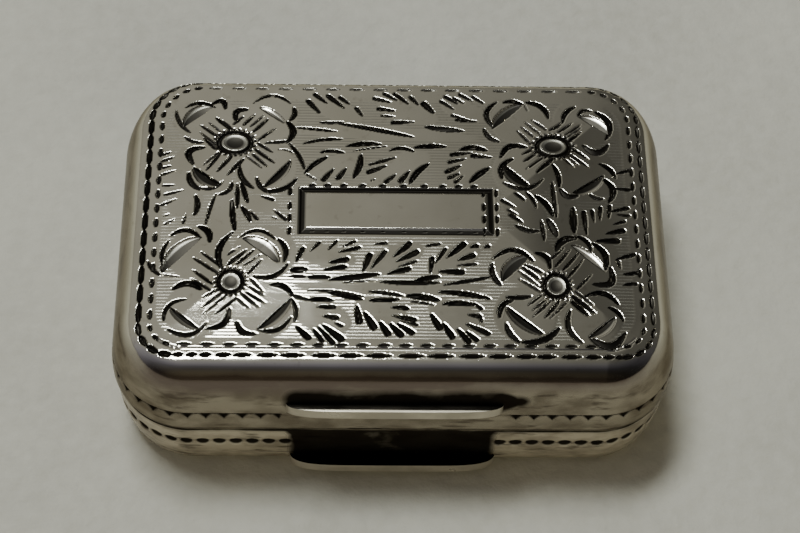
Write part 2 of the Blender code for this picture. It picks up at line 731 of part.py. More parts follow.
def build():
    """Make every piece of the box."""
    clear_scene()
    box = make_collection("vinaigrette_box")
    cutters = make_collection("cutters")
    groove = groove_cutter(cutters)
    back_gap = back_gap_cutter(cutters)
    end_outline = end_outline_cutter(cutters)
    lid_axis = axis_empty("lid_hinge_axis", BARREL_Y, SEAM_HEIGHT, box)
    grille_axis = axis_empty("grille_hinge_axis", GRILLE_Y, GRILLE_Z, box)

    base_shell(box, groove)
    ledge_outer = widest_inset(BASE_INNER, LEDGE_BOTTOM, LEDGE_TOP) + SEAT_GAP
    three_sided_band("grille_ledge", ledge_outer, ledge_outer + LEDGE_WIDTH, LEDGE_BOTTOM, LEDGE_TOP,
                     box, gilt("ledge_gilt"), back_gap)
    three_sided_band("base_bezel", BEZEL_OUTER, BEZEL_INNER, BEZEL_LOW, BEZEL_HIGH,
                     box, gilt("bezel_gilt"), back_gap)
    bearer("base_hinge_bearer", BEARER_LOW, SEAM_HEIGHT - SEAM_GAP / 2, box, silver("bearer_silver"), groove)
    sponge(box)

    hang_on(lid_axis, lid_shell(box, groove))
    lid_bearer = bearer("lid_hinge_bearer", SEAM_HEIGHT + SEAM_GAP / 2, BEARER_HIGH, box,
                        silver("lid_bearer_silver"), groove)
    hang_on(lid_axis, lid_bearer)
    main_hinge(box, lid_axis, end_outline)

    grille_plate(box, grille_axis)
    grille_tab(box, grille_axis)
    grille_hinge(box, grille_axis)

    lid_lip_size = (LID_LIP_LENGTH, LID_LIP_REACH, LID_LIP_HEIGHT)
    lid_lip = thumbpiece("lid_thumbpiece", lid_lip_size, SEAM_HEIGHT + LID_LIP_ABOVE_SEAM, LID_OUTER, box,
                         silver("lid_lip_silver"))
    hang_on(lid_axis, lid_lip)
    base_lip_size = (BASE_LIP_LENGTH, BASE_LIP_REACH, BASE_LIP_HEIGHT)
    base_lip_low = SEAM_HEIGHT - BASE_LIP_BELOW_SEAM - BASE_LIP_HEIGHT
    thumbpiece("base_thumbpiece", base_lip_size, base_lip_low, BASE_OUTER, box, silver("base_lip_silver"))


build()
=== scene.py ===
"""Looks of the vinaigrette box: engraved silver shells, gilt inside, sponge, floor, light and camera.

Lengths are in millimetres and are turned to metres when a mesh is made. The lid and the base stand where
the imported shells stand. Every cut of the engraving is a stroke of the graver, given by its two ends, its
bow and its width, as an engraver would set it out on the lid.
"""

import json
import math

import bpy
import numpy as np
from mathutils import Matrix, Vector, noise


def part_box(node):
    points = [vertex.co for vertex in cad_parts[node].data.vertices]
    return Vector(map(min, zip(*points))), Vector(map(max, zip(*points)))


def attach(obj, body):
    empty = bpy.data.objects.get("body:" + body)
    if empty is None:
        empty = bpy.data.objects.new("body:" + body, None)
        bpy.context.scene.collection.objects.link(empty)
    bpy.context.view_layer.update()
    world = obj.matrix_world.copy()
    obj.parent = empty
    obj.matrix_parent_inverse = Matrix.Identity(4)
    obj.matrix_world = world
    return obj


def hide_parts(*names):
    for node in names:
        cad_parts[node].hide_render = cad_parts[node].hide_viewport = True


MM = 0.001
TINY = 1e-6

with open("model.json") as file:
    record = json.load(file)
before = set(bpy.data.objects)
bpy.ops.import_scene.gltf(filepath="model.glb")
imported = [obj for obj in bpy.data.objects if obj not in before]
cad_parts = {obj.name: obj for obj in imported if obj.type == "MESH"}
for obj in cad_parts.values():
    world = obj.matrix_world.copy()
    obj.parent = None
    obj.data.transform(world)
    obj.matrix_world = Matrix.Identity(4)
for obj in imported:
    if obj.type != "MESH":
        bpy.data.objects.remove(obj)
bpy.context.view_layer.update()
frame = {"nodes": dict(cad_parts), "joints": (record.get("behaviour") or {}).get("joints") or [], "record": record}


def box_mm(node):
    """Low and high corner of a node of the frame."""
    return [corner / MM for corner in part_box(node)]


# Sizes taken from the frame
LID_LOW, LID_HIGH = box_mm("lid_shell")
SPONGE_LOW, SPONGE_HIGH = box_mm("sponge")
LID_LIP_LOW, LID_LIP_HIGH = box_mm("lid_thumbpiece")
BASE_LIP_LOW, BASE_LIP_HIGH = box_mm("base_thumbpiece")
HINGE = next(joint for joint in frame["joints"] if joint["name"] == "lid_hinge")
BARREL_Y, SEAM = HINGE["pos_m"][1] / MM, HINGE["pos_m"][2] / MM
HALF_WIDTH, HALF_DEPTH = LID_HIGH.x, -LID_LOW.y
LID_RIM, BASE_RIM = LID_LOW.z, box_mm("base_shell")[1].z

# Form of the two shells, as in the solids, with the lid's crest eased as worn metal is
CORNER = 5.35
WALL = 0.55
PLATE_EDGE = 12.4
CREST_INSET = 2.0
DOME = 0.38
DOME_REACH = 10.6
BULGE = 0.5
TUCK = 0.15
FOOT_INSET = 1.5
SHOULDER_POWER = 1.8
BASE_POWER = 2.6
GROOVE_RADIUS = 1.05
# The lid's plate is this much thicker than its wall, for the cuts
PLATE_EXTRA = 0.2

# Insets that the lid's section is sampled at
PROFILE_STEP = 0.01
PROFILE_INSET = np.arange(0, 5, PROFILE_STEP)
# Crest inset, easing and power of the section at the sides, and at the front, where it is fuller. The
# easing starts at an inset of EASE_START and is full EASE_RUN further in.
SIDE_SECTION = (CREST_INSET, 2.0, SHOULDER_POWER)
FRONT_SECTION = (2.35, 1.2, 3.0)
EASE_START = 0.3
EASE_RUN = 0.8

# Mesh of the lid's top: a grid out to GRID_INSET, then rings down the shoulder and wall
GRID_INSET = 1.2
STEP_X = 0.07
STEP_Y = 0.06
EDGE_ROUND = 0.08
SHOULDER_FOOT = 8.35
PLAIN_HEIGHT = 7.1
BASE_WALL_TOP = 4.45
TRAY_TOP = 4.2
# Runs of rings down the lid's wall, the base's wall and the inside of the tray: height of the end, steps
LID_RINGS = ((10.2, 14), (SHOULDER_FOOT, 11), (7.4, 24), (PLAIN_HEIGHT, 3), (6.3, 6),
             (LID_RIM + EDGE_ROUND, 4))
BASE_RINGS = ((BASE_WALL_TOP, 7), (3.5, 22), (3.1, 3), (2.0, 6), (0.8, 8), (0.25, 6), (0.03, 5), (0.0, 1))
TRAY_RINGS = ((2.2, 3), (1.4, 3), (0.9, 3), (0.65, 2), (WALL, 1))
# Rings inside the lid: step at the rim, steps of the round shoulder, then insets under the plate
INNER_LIP = 0.05
INNER_STEPS = 12
DEEP_INSETS = (3.2, 4.4, 5.25)

WIDEST = SEAM + BULGE
CORE_X = HALF_WIDTH - CORNER
CORE_Y = HALF_DEPTH - CORNER
GRID_RADIUS = CORNER - GRID_INSET

# Where the drawing below lies on the lid
DRAWING_X = 0.1
DRAWING_Y = 0.2

# Engraving. A crescent is x0, y0, x1, y1, bow to the left of its way, width. A ray is x0, y0, x1, y1,
# width. A fold is x0, y0, x1, y1 along its straight chord, then how far it slopes up to the left (or,
# when negative, to the right).
FLOWER_CRESCENTS = (
    # Back left flower
    (-15.1, 8.4, -14.0, 6.4, -0.3, 0.26), (-14.5, 8.55, -12.4, 8.6, 0.45, 0.28),
    (-12.65, 8.95, -11.65, 8.5, 0.55, 0.38), (-11.0, 7.5, -10.15, 8.5, 0.5, 0.42),
    (-9.8, 9.0, -7.2, 9.0, 0.72, 0.22), (-7.0, 8.7, -7.25, 7.5, 0.25, 0.32),
    (-7.45, 7.5, -7.4, 5.6, 0.5, 0.42), (-8.9, 5.55, -7.2, 5.75, -0.05, 0.24),
    (-7.3, 5.6, -6.15, 3.3, 0.2, 0.24), (-8.0, 5.0, -6.9, 4.7, 0.15, 0.12),
    (-9.4, 2.7, -8.4, 1.35, -0.28, 0.3), (-8.95, 1.55, -6.65, 2.6, -0.5, 0.36),
    (-10.6, 3.8, -9.55, 1.75, -0.38, 0.34), (-13.0, 5.25, -13.75, 3.8, -0.8, 0.46),
    (-14.0, 3.2, -13.15, 1.7, -0.3, 0.38), (-13.3, 1.95, -11.6, 2.4, -0.4, 0.24),
    (-11.9, 1.3, -11.0, 2.35, -0.35, 0.3), (-14.4, 6.1, -13.05, 5.6, -0.2, 0.22),
    # Back right
    (7.05, 9.35, 6.75, 7.1, -0.68, 0.32), (7.45, 9.3, 8.85, 9.15, 0.2, 0.32),
    (6.05, 7.0, 7.1, 5.85, -0.28, 0.3), (9.0, 9.35, 10.6, 7.9, 0.5, 0.36),
    (12.5, 9.0, 11.5, 7.55, -0.32, 0.32), (11.5, 7.6, 10.55, 6.9, 0.1, 0.24),
    (12.6, 8.15, 13.6, 8.6, 0.32, 0.26), (13.8, 8.6, 14.4, 6.15, 0.72, 0.42),
    (12.75, 5.65, 14.6, 5.75, -0.72, 0.5), (13.8, 4.2, 14.9, 3.0, 0.28, 0.32),
    (14.0, 3.0, 14.3, 1.0, 0.58, 0.42), (10.6, 4.05, 11.0, 2.1, 0.22, 0.32),
    (11.0, 2.0, 12.3, 1.5, -0.42, 0.42), (12.95, 1.75, 14.0, 1.3, -0.2, 0.26),
    (9.0, 5.4, 7.1, 4.5, -0.65, 0.42), (8.0, 4.45, 7.15, 2.7, -0.48, 0.36),
    (7.2, 2.4, 9.95, 2.8, -0.75, 0.32), (8.9, 9.25, 9.15, 8.55, 0, 0.09),
    # Front left
    (-15.0, -1.9, -12.95, -2.05, 0.58, 0.32), (-15.0, -2.2, -15.3, -4.2, -0.3, 0.24),
    (-13.15, -1.15, -12.3, -2.45, 0.4, 0.42), (-16.35, -3.85, -15.45, -4.95, -0.15, 0.26),
    (-10.45, -2.15, -7.95, -2.35, 0.7, 0.24), (-7.85, -2.2, -7.4, -4.0, 0.38, 0.32),
    (-10.8, -1.65, -11.4, -4.65, -0.68, 0.42), (-7.1, -4.05, -9.45, -5.05, 0.6, 0.34),
    (-8.25, -5.65, -6.8, -6.35, 0.32, 0.36), (-6.95, -6.6, -6.6, -8.4, 0.28, 0.24),
    (-9.0, -8.95, -6.85, -8.0, -0.6, 0.32), (-10.4, -8.35, -9.05, -9.3, -0.45, 0.38),
    (-14.65, -6.0, -12.65, -6.1, 0.55, 0.45), (-13.6, -6.75, -15.05, -8.45, -0.62, 0.26),
    (-14.8, -8.95, -12.25, -8.45, -0.75, 0.32), (-12.3, -8.95, -10.85, -7.35, -0.62, 0.42),
    (-15.5, -4.85, -14.1, -5.1, 0, 0.1),
    # Front right
    (6.3, -3.65, 9.05, -3.85, 0.85, 0.32), (6.25, -3.9, 6.85, -5.65, -0.3, 0.32),
    (7.1, -6.45, 8.8, -6.4, -0.15, 0.32), (9.1, -3.1, 10.1, -4.35, 0.45, 0.36),
    (10.5, -2.95, 12.0, -1.85, 0.45, 0.5), (11.9, -1.7, 12.9, -2.95, 0.35, 0.3),
    (13.0, -2.2, 13.75, -4.35, 0.52, 0.42), (14.1, -4.05, 12.85, -5.45, 0.85, 0.5),
    (12.2, -6.4, 14.5, -6.95, 0.65, 0.36), (13.7, -7.1, 14.7, -8.2, 0.25, 0.28),
    (12.45, -9.45, 14.8, -9.0, -0.9, 0.55), (11.3, -7.3, 11.95, -9.8, -0.6, 0.32),
    (7.6, -6.65, 6.65, -8.0, -0.42, 0.36), (7.0, -8.3, 7.95, -9.8, -0.25, 0.32),
    (8.0, -9.75, 10.55, -8.65, -0.5, 0.46),
)

FLOWER_RAYS = (
    # Back left flower
    (-11.2, 6.7, -12.35, 7.75, 0.3), (-11.9, 6.45, -12.8, 7.3, 0.13), (-12.1, 6.05, -13.4, 7.1, 0.2),
    (-12.15, 5.35, -13.4, 6.5, 0.15), (-12.2, 5.0, -13.1, 6.0, 0.22), (-11.1, 7.15, -10.4, 7.9, 0.2),
    (-10.45, 7.05, -9.65, 8.05, 0.22), (-9.95, 6.95, -9.0, 8.0, 0.16), (-9.75, 6.5, -8.7, 7.7, 0.26),
    (-9.45, 5.75, -8.2, 6.85, 0.2), (-9.45, 5.6, -8.35, 4.75, 0.2), (-9.65, 5.1, -8.2, 3.85, 0.22),
    (-9.75, 4.65, -8.65, 3.5, 0.2), (-10.15, 4.45, -9.0, 3.4, 0.13), (-12.0, 4.8, -13.05, 3.7, 0.16),
    (-11.85, 4.8, -12.8, 3.3, 0.26), (-11.1, 4.45, -12.1, 3.15, 0.28), (-10.3, 4.2, -11.4, 2.85, 0.3),
    # Back right
    (10.4, 6.9, 9.35, 7.85, 0.16), (9.95, 6.55, 8.85, 7.65, 0.14), (9.5, 6.3, 8.6, 7.2, 0.15),
    (9.25, 5.65, 8.35, 6.85, 0.18), (11.1, 6.7, 12.2, 7.55, 0.18), (11.6, 6.5, 12.8, 7.45, 0.15),
    (11.7, 6.3, 12.8, 7.15, 0.13), (11.85, 6.0, 12.75, 6.8, 0.24), (11.9, 5.5, 13.2, 4.45, 0.2),
    (11.75, 4.95, 13.1, 3.85, 0.2), (11.5, 4.85, 12.5, 3.9, 0.14), (11.25, 4.65, 12.1, 3.8, 0.16),
    (9.35, 5.25, 8.6, 4.8, 0.2), (9.6, 4.95, 8.65, 4.15, 0.22), (10.05, 4.6, 8.85, 3.55, 0.18),
    (10.7, 4.5, 9.5, 3.25, 0.32),
    # Front left
    (-11.35, -4.45, -12.9, -3.15, 0.2), (-11.6, -4.9, -13.45, -3.55, 0.2),
    (-11.95, -5.7, -13.35, -4.55, 0.22),
    (-12.1, -6.15, -13.45, -5.2, 0.2), (-11.1, -3.45, -10.3, -2.8, 0.16), (-11.1, -4.25, -9.85, -3.05, 0.3),
    (-10.5, -4.2, -9.35, -3.05, 0.25), (-10.0, -4.25, -8.95, -3.45, 0.17), (-9.75, -4.9, -8.85, -3.8, 0.22),
    (-9.6, -5.2, -8.65, -6.3, 0.16), (-9.65, -5.8, -8.6, -6.55, 0.16), (-9.9, -6.2, -8.55, -7.05, 0.2),
    (-10.15, -6.3, -8.95, -7.35, 0.2), (-10.5, -6.6, -9.6, -7.4, 0.16), (-11.5, -5.95, -12.6, -6.65, 0.18),
    (-11.3, -6.2, -12.6, -7.35, 0.24), (-10.95, -6.35, -12.55, -7.85, 0.18),
    (-10.4, -6.65, -11.75, -7.85, 0.26),
    # Front right
    (9.6, -4.65, 8.35, -4.0, 0.2), (9.35, -5.15, 8.15, -4.15, 0.22), (9.3, -5.65, 7.95, -4.45, 0.15),
    (9.45, -6.1, 8.0, -5.1, 0.15), (10.15, -3.6, 11.1, -2.65, 0.17), (10.4, -4.2, 11.5, -2.75, 0.22),
    (10.9, -4.45, 12.1, -2.95, 0.25), (11.2, -5.0, 12.3, -3.55, 0.22), (11.75, -5.85, 12.85, -4.6, 0.2),
    (11.6, -5.95, 12.9, -7.1, 0.16), (11.4, -6.3, 12.9, -7.65, 0.3), (11.35, -6.7, 12.5, -7.85, 0.3),
    (9.45, -6.3, 8.55, -7.05, 0.18), (9.8, -6.5, 8.8, -7.45, 0.17), (10.05, -6.65, 8.85, -7.9, 0.2),
    (10.6, -6.7, 9.6, -7.95, 0.25), (11.2, -6.65, 9.9, -8.05, 0.15),
)

FLOWER_FOLDS = (
    # Back left flower
    (-14.5, 6.95, -12.55, 8.7, 0.85), (-9.35, 8.65, -7.6, 7.3, 0.42),
    (-8.9, 1.9, -7.15, 4.1, -0.6), (-13.65, 3.6, -11.75, 2.1, -0.75),
    # Back right
    (6.7, 7.0, 8.8, 9.1, 0.75), (12.65, 8.15, 14.75, 6.55, 0.68),
    (11.9, 1.75, 14.05, 3.25, -0.7), (7.3, 3.9, 9.0, 2.15, -0.72),
    # Front left
    (-15.35, -4.75, -12.9, -2.05, 0.95), (-10.15, -2.15, -7.75, -4.05, 0.85),
    (-9.0, -8.9, -6.85, -6.6, -0.62), (-14.7, -7.35, -12.75, -8.95, -0.45),
    # Front right
    (6.95, -5.3, 8.75, -3.45, 0.85), (11.55, -2.45, 13.7, -4.4, 0.5),
    (12.35, -9.35, 14.15, -7.85, -0.55), (7.1, -7.15, 9.45, -9.15, -0.6),
)

# Each boss is centre x, centre y, half width, half height
BOSSES = (
    (-10.95, 5.6, 1.0, 0.8), (10.75, 5.5, 1.02, 0.75),
    (-10.85, -5.45, 0.72, 0.72), (10.45, -5.6, 0.72, 0.76),
)

# Leaves and stems. A leaf cut is heavy at its first end and runs out to a point at its second.
STEM_CRESCENTS = (
    (-12.05, 1.45, -12.65, -1.05, -0.1, 0.22), (-11.0, 0.95, -10.7, -1.6, -0.1, 0.34),
    (-10.65, 2.2, -10.6, 0.2, 0.05, 0.26), (-10.4, 2.3, -9.9, 0.6, 0.05, 0.32),
    (-10.35, 0.35, -9.65, -0.95, 0, 0.32), (-13.45, 1.35, -13.45, -0.35, 0.25, 0.34),
    (10.5, 2.7, 10.7, -0.35, -0.05, 0.28), (11.85, 0.6, 11.85, -1.5, 0.05, 0.5),
    (9.3, 1.45, 10.5, -0.25, 0.25, 0.38), (8.7, 1.7, 9.4, 0.35, 0.15, 0.24),
    (7.9, 1.6, 8.65, 0.9, 0.08, 0.22), (7.9, -1.0, 9.55, -1.45, -0.25, 0.32),
    (10.05, -0.4, 10.65, -1.85, -0.05, 0.46), (9.6, -0.5, 9.78, -2.2, 0, 0.26),
    (-6.95, 6.95, -3.9, 6.6, 0.06, 0.22), (-3.95, 7.35, 1.3, 6.2, 0.1, 0.34),
    (-5.2, 7.4, -3.5, 7.45, -0.08, 0.22), (-6.4, 5.5, -3.6, 5.95, 0.2, 0.24),
    (-3.35, 5.35, -0.95, 5.55, 0.2, 0.38), (-2.9, 4.95, -0.5, 5.4, 0.05, 0.13),
    (-0.45, 5.0, 1.25, 4.95, 0.3, 0.26), (1.25, 5.3, 3.45, 5.4, 0.15, 0.4),
    (4.35, 5.15, 6.25, 5.1, 0.28, 0.4), (-5.15, 4.8, -3.45, 4.75, 0.2, 0.28),
    (2.0, 7.1, 4.7, 6.75, -0.1, 0.42), (-4.6, 4.45, -6.15, 3.0, -0.22, 0.34),
    (-7.0, -4.55, -5.85, -4.5, 0.05, 0.44), (-7.0, -5.05, -5.85, -5.1, 0, 0.2),
    (-5.85, -5.1, -4.3, -5.1, -0.05, 0.28), (-4.4, -5.3, -1.1, -4.85, -0.08, 0.42),
    (-3.6, -5.5, -1.3, -5.35, 0, 0.12), (-1.05, -5.4, 2.9, -5.45, -0.12, 0.36),
    (1.2, -5.3, 2.85, -5.0, -0.03, 0.36), (3.1, -5.6, 6.2, -5.0, -0.06, 0.26),
    (-5.9, -6.05, -2.0, -6.55, 0.16, 0.16), (-4.5, -6.15, -2.2, -6.75, 0.1, 0.38),
    (-7.05, -6.35, -5.65, -6.8, -0.05, 0.22), (-5.75, -6.75, -4.15, -6.8, 0.12, 0.36),
    (-1.9, -6.1, 0.5, -6.45, 0.08, 0.22), (-1.8, -6.75, 0.2, -6.7, 0.05, 0.32),
    (0.6, -6.4, 2.85, -6.75, 0.14, 0.42), (0.8, -6.8, 2.5, -7.1, 0.04, 0.13),
    (2.7, -6.1, 6.1, -6.6, 0.16, 0.34), (3.0, -7.0, 5.1, -7.05, 0.15, 0.36),
    (6.35, 3.65, 4.95, 2.35, -0.15, 0.42), (2.25, 3.95, 0.9, 2.2, -0.25, 0.42),
    (-2.35, 4.7, -2.85, 2.65, 0.2, 0.42),
)
LEAF_CUTS = (
    (-6.1, 9.35, -5.15, 8.15, 0.32), (-5.65, 9.9, -4.7, 9.05, 0.27), (-4.75, 9.8, -3.5, 8.65, 0.32),
    (-3.9, 9.65, -3.15, 9.0, 0.26), (-2.75, 8.75, -2.25, 7.95, 0.24), (-1.55, 9.55, -0.3, 9.2, 0.28),
    (-0.85, 10.0, 0.2, 9.35, 0.24), (-0.1, 10.0, 0.95, 9.05, 0.27), (1.0, 9.75, 1.6, 9.0, 0.27),
    (1.85, 9.25, 2.7, 8.25, 0.42), (-1.25, 8.65, 0.05, 8.45, 0.3), (-1.0, 8.05, 0.05, 7.95, 0.18),
    (-0.3, 7.45, 1.35, 7.5, 0.32), (3.1, 9.4, 4.05, 8.65, 0.22), (3.4, 9.8, 4.4, 9.1, 0.24),
    (4.0, 9.65, 4.85, 9.15, 0.2), (4.4, 10.0, 5.4, 9.35, 0.22), (5.3, 9.8, 6.2, 9.15, 0.22),
    (3.85, 8.15, 4.9, 7.8, 0.2), (4.15, 7.75, 5.65, 7.6, 0.28),
    (-4.95, 2.4, -4.2, 3.45, 0.36), (-3.95, 2.55, -3.35, 3.5, 0.36), (-6.05, 2.95, -5.3, 2.45, 0.12),
    (-1.35, 3.95, 0.05, 4.45, 0.27), (-1.8, 3.8, -0.9, 4.05, 0.18), (-1.95, 3.1, -0.6, 3.75, 0.36),
    (-0.75, 2.3, 0.0, 3.0, 0.32), (0.25, 2.35, 0.9, 3.3, 0.36), (-1.7, 2.45, -1.3, 2.6, 0.1),
    (3.7, 4.7, 5.2, 4.9, 0.32), (3.55, 4.05, 4.75, 4.35, 0.28), (3.35, 3.2, 4.45, 3.8, 0.34),
    (3.5, 2.7, 4.35, 3.15, 0.28), (3.95, 2.35, 4.55, 2.95, 0.24), (5.1, 4.65, 6.55, 4.5, 0.34),
    (-6.15, -2.85, -6.6, -4.0, 0.34), (-5.05, -2.45, -5.65, -3.15, 0.24), (-3.95, -2.35, -4.5, -3.05, 0.22),
    (-2.7, -2.35, -3.55, -2.8, 0.22), (-2.4, -2.85, -3.9, -3.25, 0.28), (-3.15, -3.75, -4.45, -4.0, 0.4),
    (-3.3, -4.3, -4.8, -4.55, 0.36), (-0.7, -3.05, -1.65, -4.4, 0.34), (-1.75, -3.3, -2.2, -4.65, 0.42),
    (0.95, -2.45, -0.2, -3.55, 0.4), (1.45, -3.1, 0.0, -3.9, 0.42), (0.9, -4.4, -0.6, -4.8, 0.42),
    (1.3, -3.85, 0.1, -4.3, 0.2), (-0.6, -2.5, -1.5, -2.6, 0.22), (3.25, -2.85, 2.5, -4.05, 0.28),
    (2.35, -3.5, 2.2, -4.75, 0.32), (4.55, -2.45, 3.3, -3.6, 0.44), (5.15, -3.35, 4.05, -3.75, 0.4),
    (5.25, -4.05, 4.0, -4.15, 0.2), (4.45, -4.65, 2.75, -4.6, 0.4), (2.9, -2.55, 1.9, -2.7, 0.22),
    (5.4, -2.65, 4.9, -2.75, 0.34), (6.15, -2.65, 5.8, -2.75, 0.28),
    (-4.0, -7.3, -5.2, -7.25, 0.3), (-3.75, -8.1, -4.8, -7.9, 0.32), (-3.5, -8.7, -4.0, -8.4, 0.2),
    (-5.6, -9.65, -6.55, -8.65, 0.4), (-4.75, -9.85, -5.45, -8.85, 0.3), (-4.05, -10.0, -5.15, -8.65, 0.34),
    (-3.45, -9.75, -4.85, -8.55, 0.46), (-2.4, -8.5, -2.65, -7.1, 0.44), (-1.4, -8.9, -2.15, -7.6, 0.46),
    (-0.5, -9.35, -1.15, -8.3, 0.42), (0.35, -9.4, -0.5, -8.4, 0.42), (1.1, -9.2, -0.1, -8.4, 0.36),
    (0.75, -7.35, -0.4, -7.25, 0.27), (1.25, -8.2, -0.3, -7.85, 0.32), (1.35, -8.55, 0.2, -8.2, 0.18),
    (2.85, -8.9, 2.15, -7.65, 0.42), (3.65, -9.55, 2.95, -8.35, 0.38), (4.7, -9.85, 3.85, -8.75, 0.38),
    (5.2, -9.7, 4.4, -8.95, 0.32), (6.0, -9.2, 4.4, -8.4, 0.32), (5.45, -7.9, 4.6, -7.75, 0.28),
    (5.55, -7.4, 5.0, -6.9, 0.2), (5.5, -8.3, 5.3, -7.6, 0.2),
    (-15.75, 0.5, -14.65, 1.05, 0.18), (-15.55, 1.35, -14.2, 1.75, 0.18), (-15.5, -0.35, -15.05, -0.15, 0.12),
    (-15.4, -1.0, -14.65, -0.5, 0.14), (-15.85, 2.95, -14.85, 3.35, 0.17), (-15.9, 3.5, -15.1, 3.75, 0.17),
    (-15.9, 4.05, -15.0, 4.45, 0.2), (-15.85, 4.6, -15.25, 4.85, 0.18), (-15.7, 2.1, -14.85, 2.15, 0.16),
    (-14.15, -0.95, -14.0, -0.1, 0.17), (-8.15, 0.8, -9.05, 1.15, 0.22), (-7.3, -0.8, -8.2, 0.05, 0.2),
    (-7.95, -0.7, -8.3, -0.5, 0.12), (-9.2, -0.75, -9.8, 0.0, 0.2),
    (7.0, 1.0, 8.0, 0.35, 0.22), (7.45, 0.2, 8.15, -0.25, 0.16), (7.55, -0.15, 8.45, -0.85, 0.26),
    (12.55, 0.3, 12.65, -1.6, 0.32), (13.1, 0.45, 13.2, -0.6, 0.25), (13.7, 0.7, 13.6, -0.45, 0.27),
    (14.35, 0.85, 14.2, -0.3, 0.27), (15.65, 0.65, 14.35, 0.3, 0.3), (15.7, 0.0, 14.75, 0.1, 0.22),
    (15.35, -0.4, 14.5, -0.7, 0.27), (15.25, -1.15, 13.95, -1.45, 0.4), (14.85, -2.0, 13.2, -2.05, 0.44),
    (15.85, -3.0, 14.5, -3.45, 0.3), (15.95, 3.7, 14.95, 3.4, 0.26), (15.9, 2.1, 14.7, 2.2, 0.26),
    (15.95, -4.45, 14.9, -4.6, 0.3), (15.8, -5.3, 14.8, -5.4, 0.26), (14.6, -3.4, 14.75, -4.2, 0.24),
)

# Plain ground kept free of shading lines: centre x, centre y, half length, half width, turn in degrees
PLAIN_GROUNDS = (
    (-4.0, 3.7, 1.9, 0.85, 15), (0.2, 3.6, 2.3, 1.0, 28), (5.0, 3.6, 1.7, 0.9, 35),
    (-4.7, -3.5, 1.9, 0.8, -12), (-0.2, -3.7, 2.0, 0.9, 25), (3.7, -3.7, 1.8, 0.85, 25),
    (-4.9, -8.0, 1.9, 1.1, -20), (-0.9, -7.8, 2.0, 0.95, -28), (3.8, -8.0, 1.9, 1.0, -30),
    (-4.2, 8.6, 2.1, 0.85, -30), (0.9, 8.4, 2.1, 0.85, -20), (4.8, 8.5, 1.6, 0.75, -20),
    (-14.1, 0.7, 1.2, 0.9, 30), (-14.6, 3.0, 1.0, 0.6, 20), (-9.0, 0.5, 1.1, 0.6, -20),
    (8.5, 0.2, 1.6, 1.1, -40), (14.0, -0.8, 1.5, 0.9, 25), (-11.6, 0.0, 0.7, 2.2, 0),
    (11.3, 0.0, 0.75, 2.2, 0), (-1.0, 6.5, 6.5, 0.55, -3), (-0.5, -5.8, 6.0, 0.45, 0),
)
PETAL_OUT = 2.15
PETAL_RADIUS = 2.0

# Flower centres, with 1 at the boss's edge: depth, place and width of the ring, the fringe and the beads
BOSS_RING = (0.19, 1.1, 0.13)
BOSS_FRINGE = (0.12, 1.36, 0.12)
BOSS_BEADS = (0.03, 1.36, 0.1)
FRINGE_NICKS = 20

# The reserve in the middle: half length, half height, and the depth and two widths of its bevel cuts
RESERVE_X = 6.35
RESERVE_Y = 1.7
RESERVE_DEPTH = 0.16
RESERVE_BEVEL = 0.36
RESERVE_OUTER_BEVEL = 0.18
# Nicks beside it, level ones in two rows and upright ones in three columns
RESERVE_NICKS_X = (-5.6, -4.6, -3.5, -2.25, -0.9, 0.5, 1.9, 3.15, 4.2, 5.25)
RESERVE_NICKS_Y = (1.5, 0.35, -0.6, -1.6)
RESERVE_ROWS = (RESERVE_Y + 0.33, -RESERVE_Y + 0.1)
RESERVE_COLUMNS = (-RESERVE_X - 0.75, RESERVE_X + 0.35, RESERVE_X - 0.5)

# Cut profiles: share of the width on the steep side, depth as a share of the width, and the sharp step at
# each edge: where it starts and how deep it is, as shares of the cut's depth
CRESCENT_STEEP_SHARE = 0.3
FOLD_STEEP = 0.05
DEPTH_SHARE = 0.5
FOLD_DEPTH_SHARE = 0.26
ROW_DEPTH_SHARE = 0.42
DEEPEST = 0.19
EDGE_SHARE = 0.1
EDGE_STEP = 0.25
# Where along its length a ray or leaf cut is widest, and how a cut's width, depth and flanks fall off
RAY_HEAVY_SHARE = 0.4
LEAF_HEAVY_SHARE = 0.22
TAPER_POWER = 0.62
DEPTH_POWER = 0.7
FLANK_POWER = 0.85
# A fold's slope is rubbed bright, from where and over how much of its width
RUBBED = 0.62
RUBBED_SLOPE = (0.3, 0.4)

# The graver throws up a small burr on the side of a cut that faces the front right. It is weaker on the
# border rows, and a deeper cut beside it takes it away
BURR_HEIGHT = 0.005
BURR_WIDTH = 0.06
BORDER_BURR = 0.5
BURR_CUT = 0.03

# Shading lines, and how softly they end at petals, at plain ground and at the reserve and border
HATCH_PITCH = 4 * STEP_Y
HATCH_DEPTH = 0.007
PETAL_FADE = 0.15
GROUND_FADE = 0.1
RESERVE_CLEAR = 0.3
BORDER_CLEAR = 0.25

# Border rows of the plate: insets of the outer and the inner row at the front, right, back and left
OUTER_ROW = (2.1, 2.1, 1.55, 2.25)
INNER_ROW = (2.85, 2.75, 2.2, 3.0)
# First and last pitch, length as a share of the pitch, and width, on the same four sides
OUTER_SIDES = ((1, 1, 0.85, 0.3), (1.25, 1.25, 0.85, 0.34), (1.85, 1.7, 0.72, 0.24), (1.2, 1.45, 1, 0.44))
INNER_SIDES = ((1.5, 1.3, 0.6, 0.24), (1.15, 1.15, 0.6, 0.28), (1.7, 1.6, 0.6, 0.2), (1.1, 1.2, 0.6, 0.3))
FRONT_ROW_RADIUS = 2.3
BACK_ROW_RADIUS = 3.4
CORNER_PITCH = 0.85
FRONT_DASHES = (-14.8, -13.9, -13.0, -12.15, -11.0, -9.8, -8.2, -6.6, -4.6, -2.9, -1.1, 1.0, 2.9, 4.9, 6.7,
                8.4, 9.7, 11.3, 12.7, 13.7, 14.4)
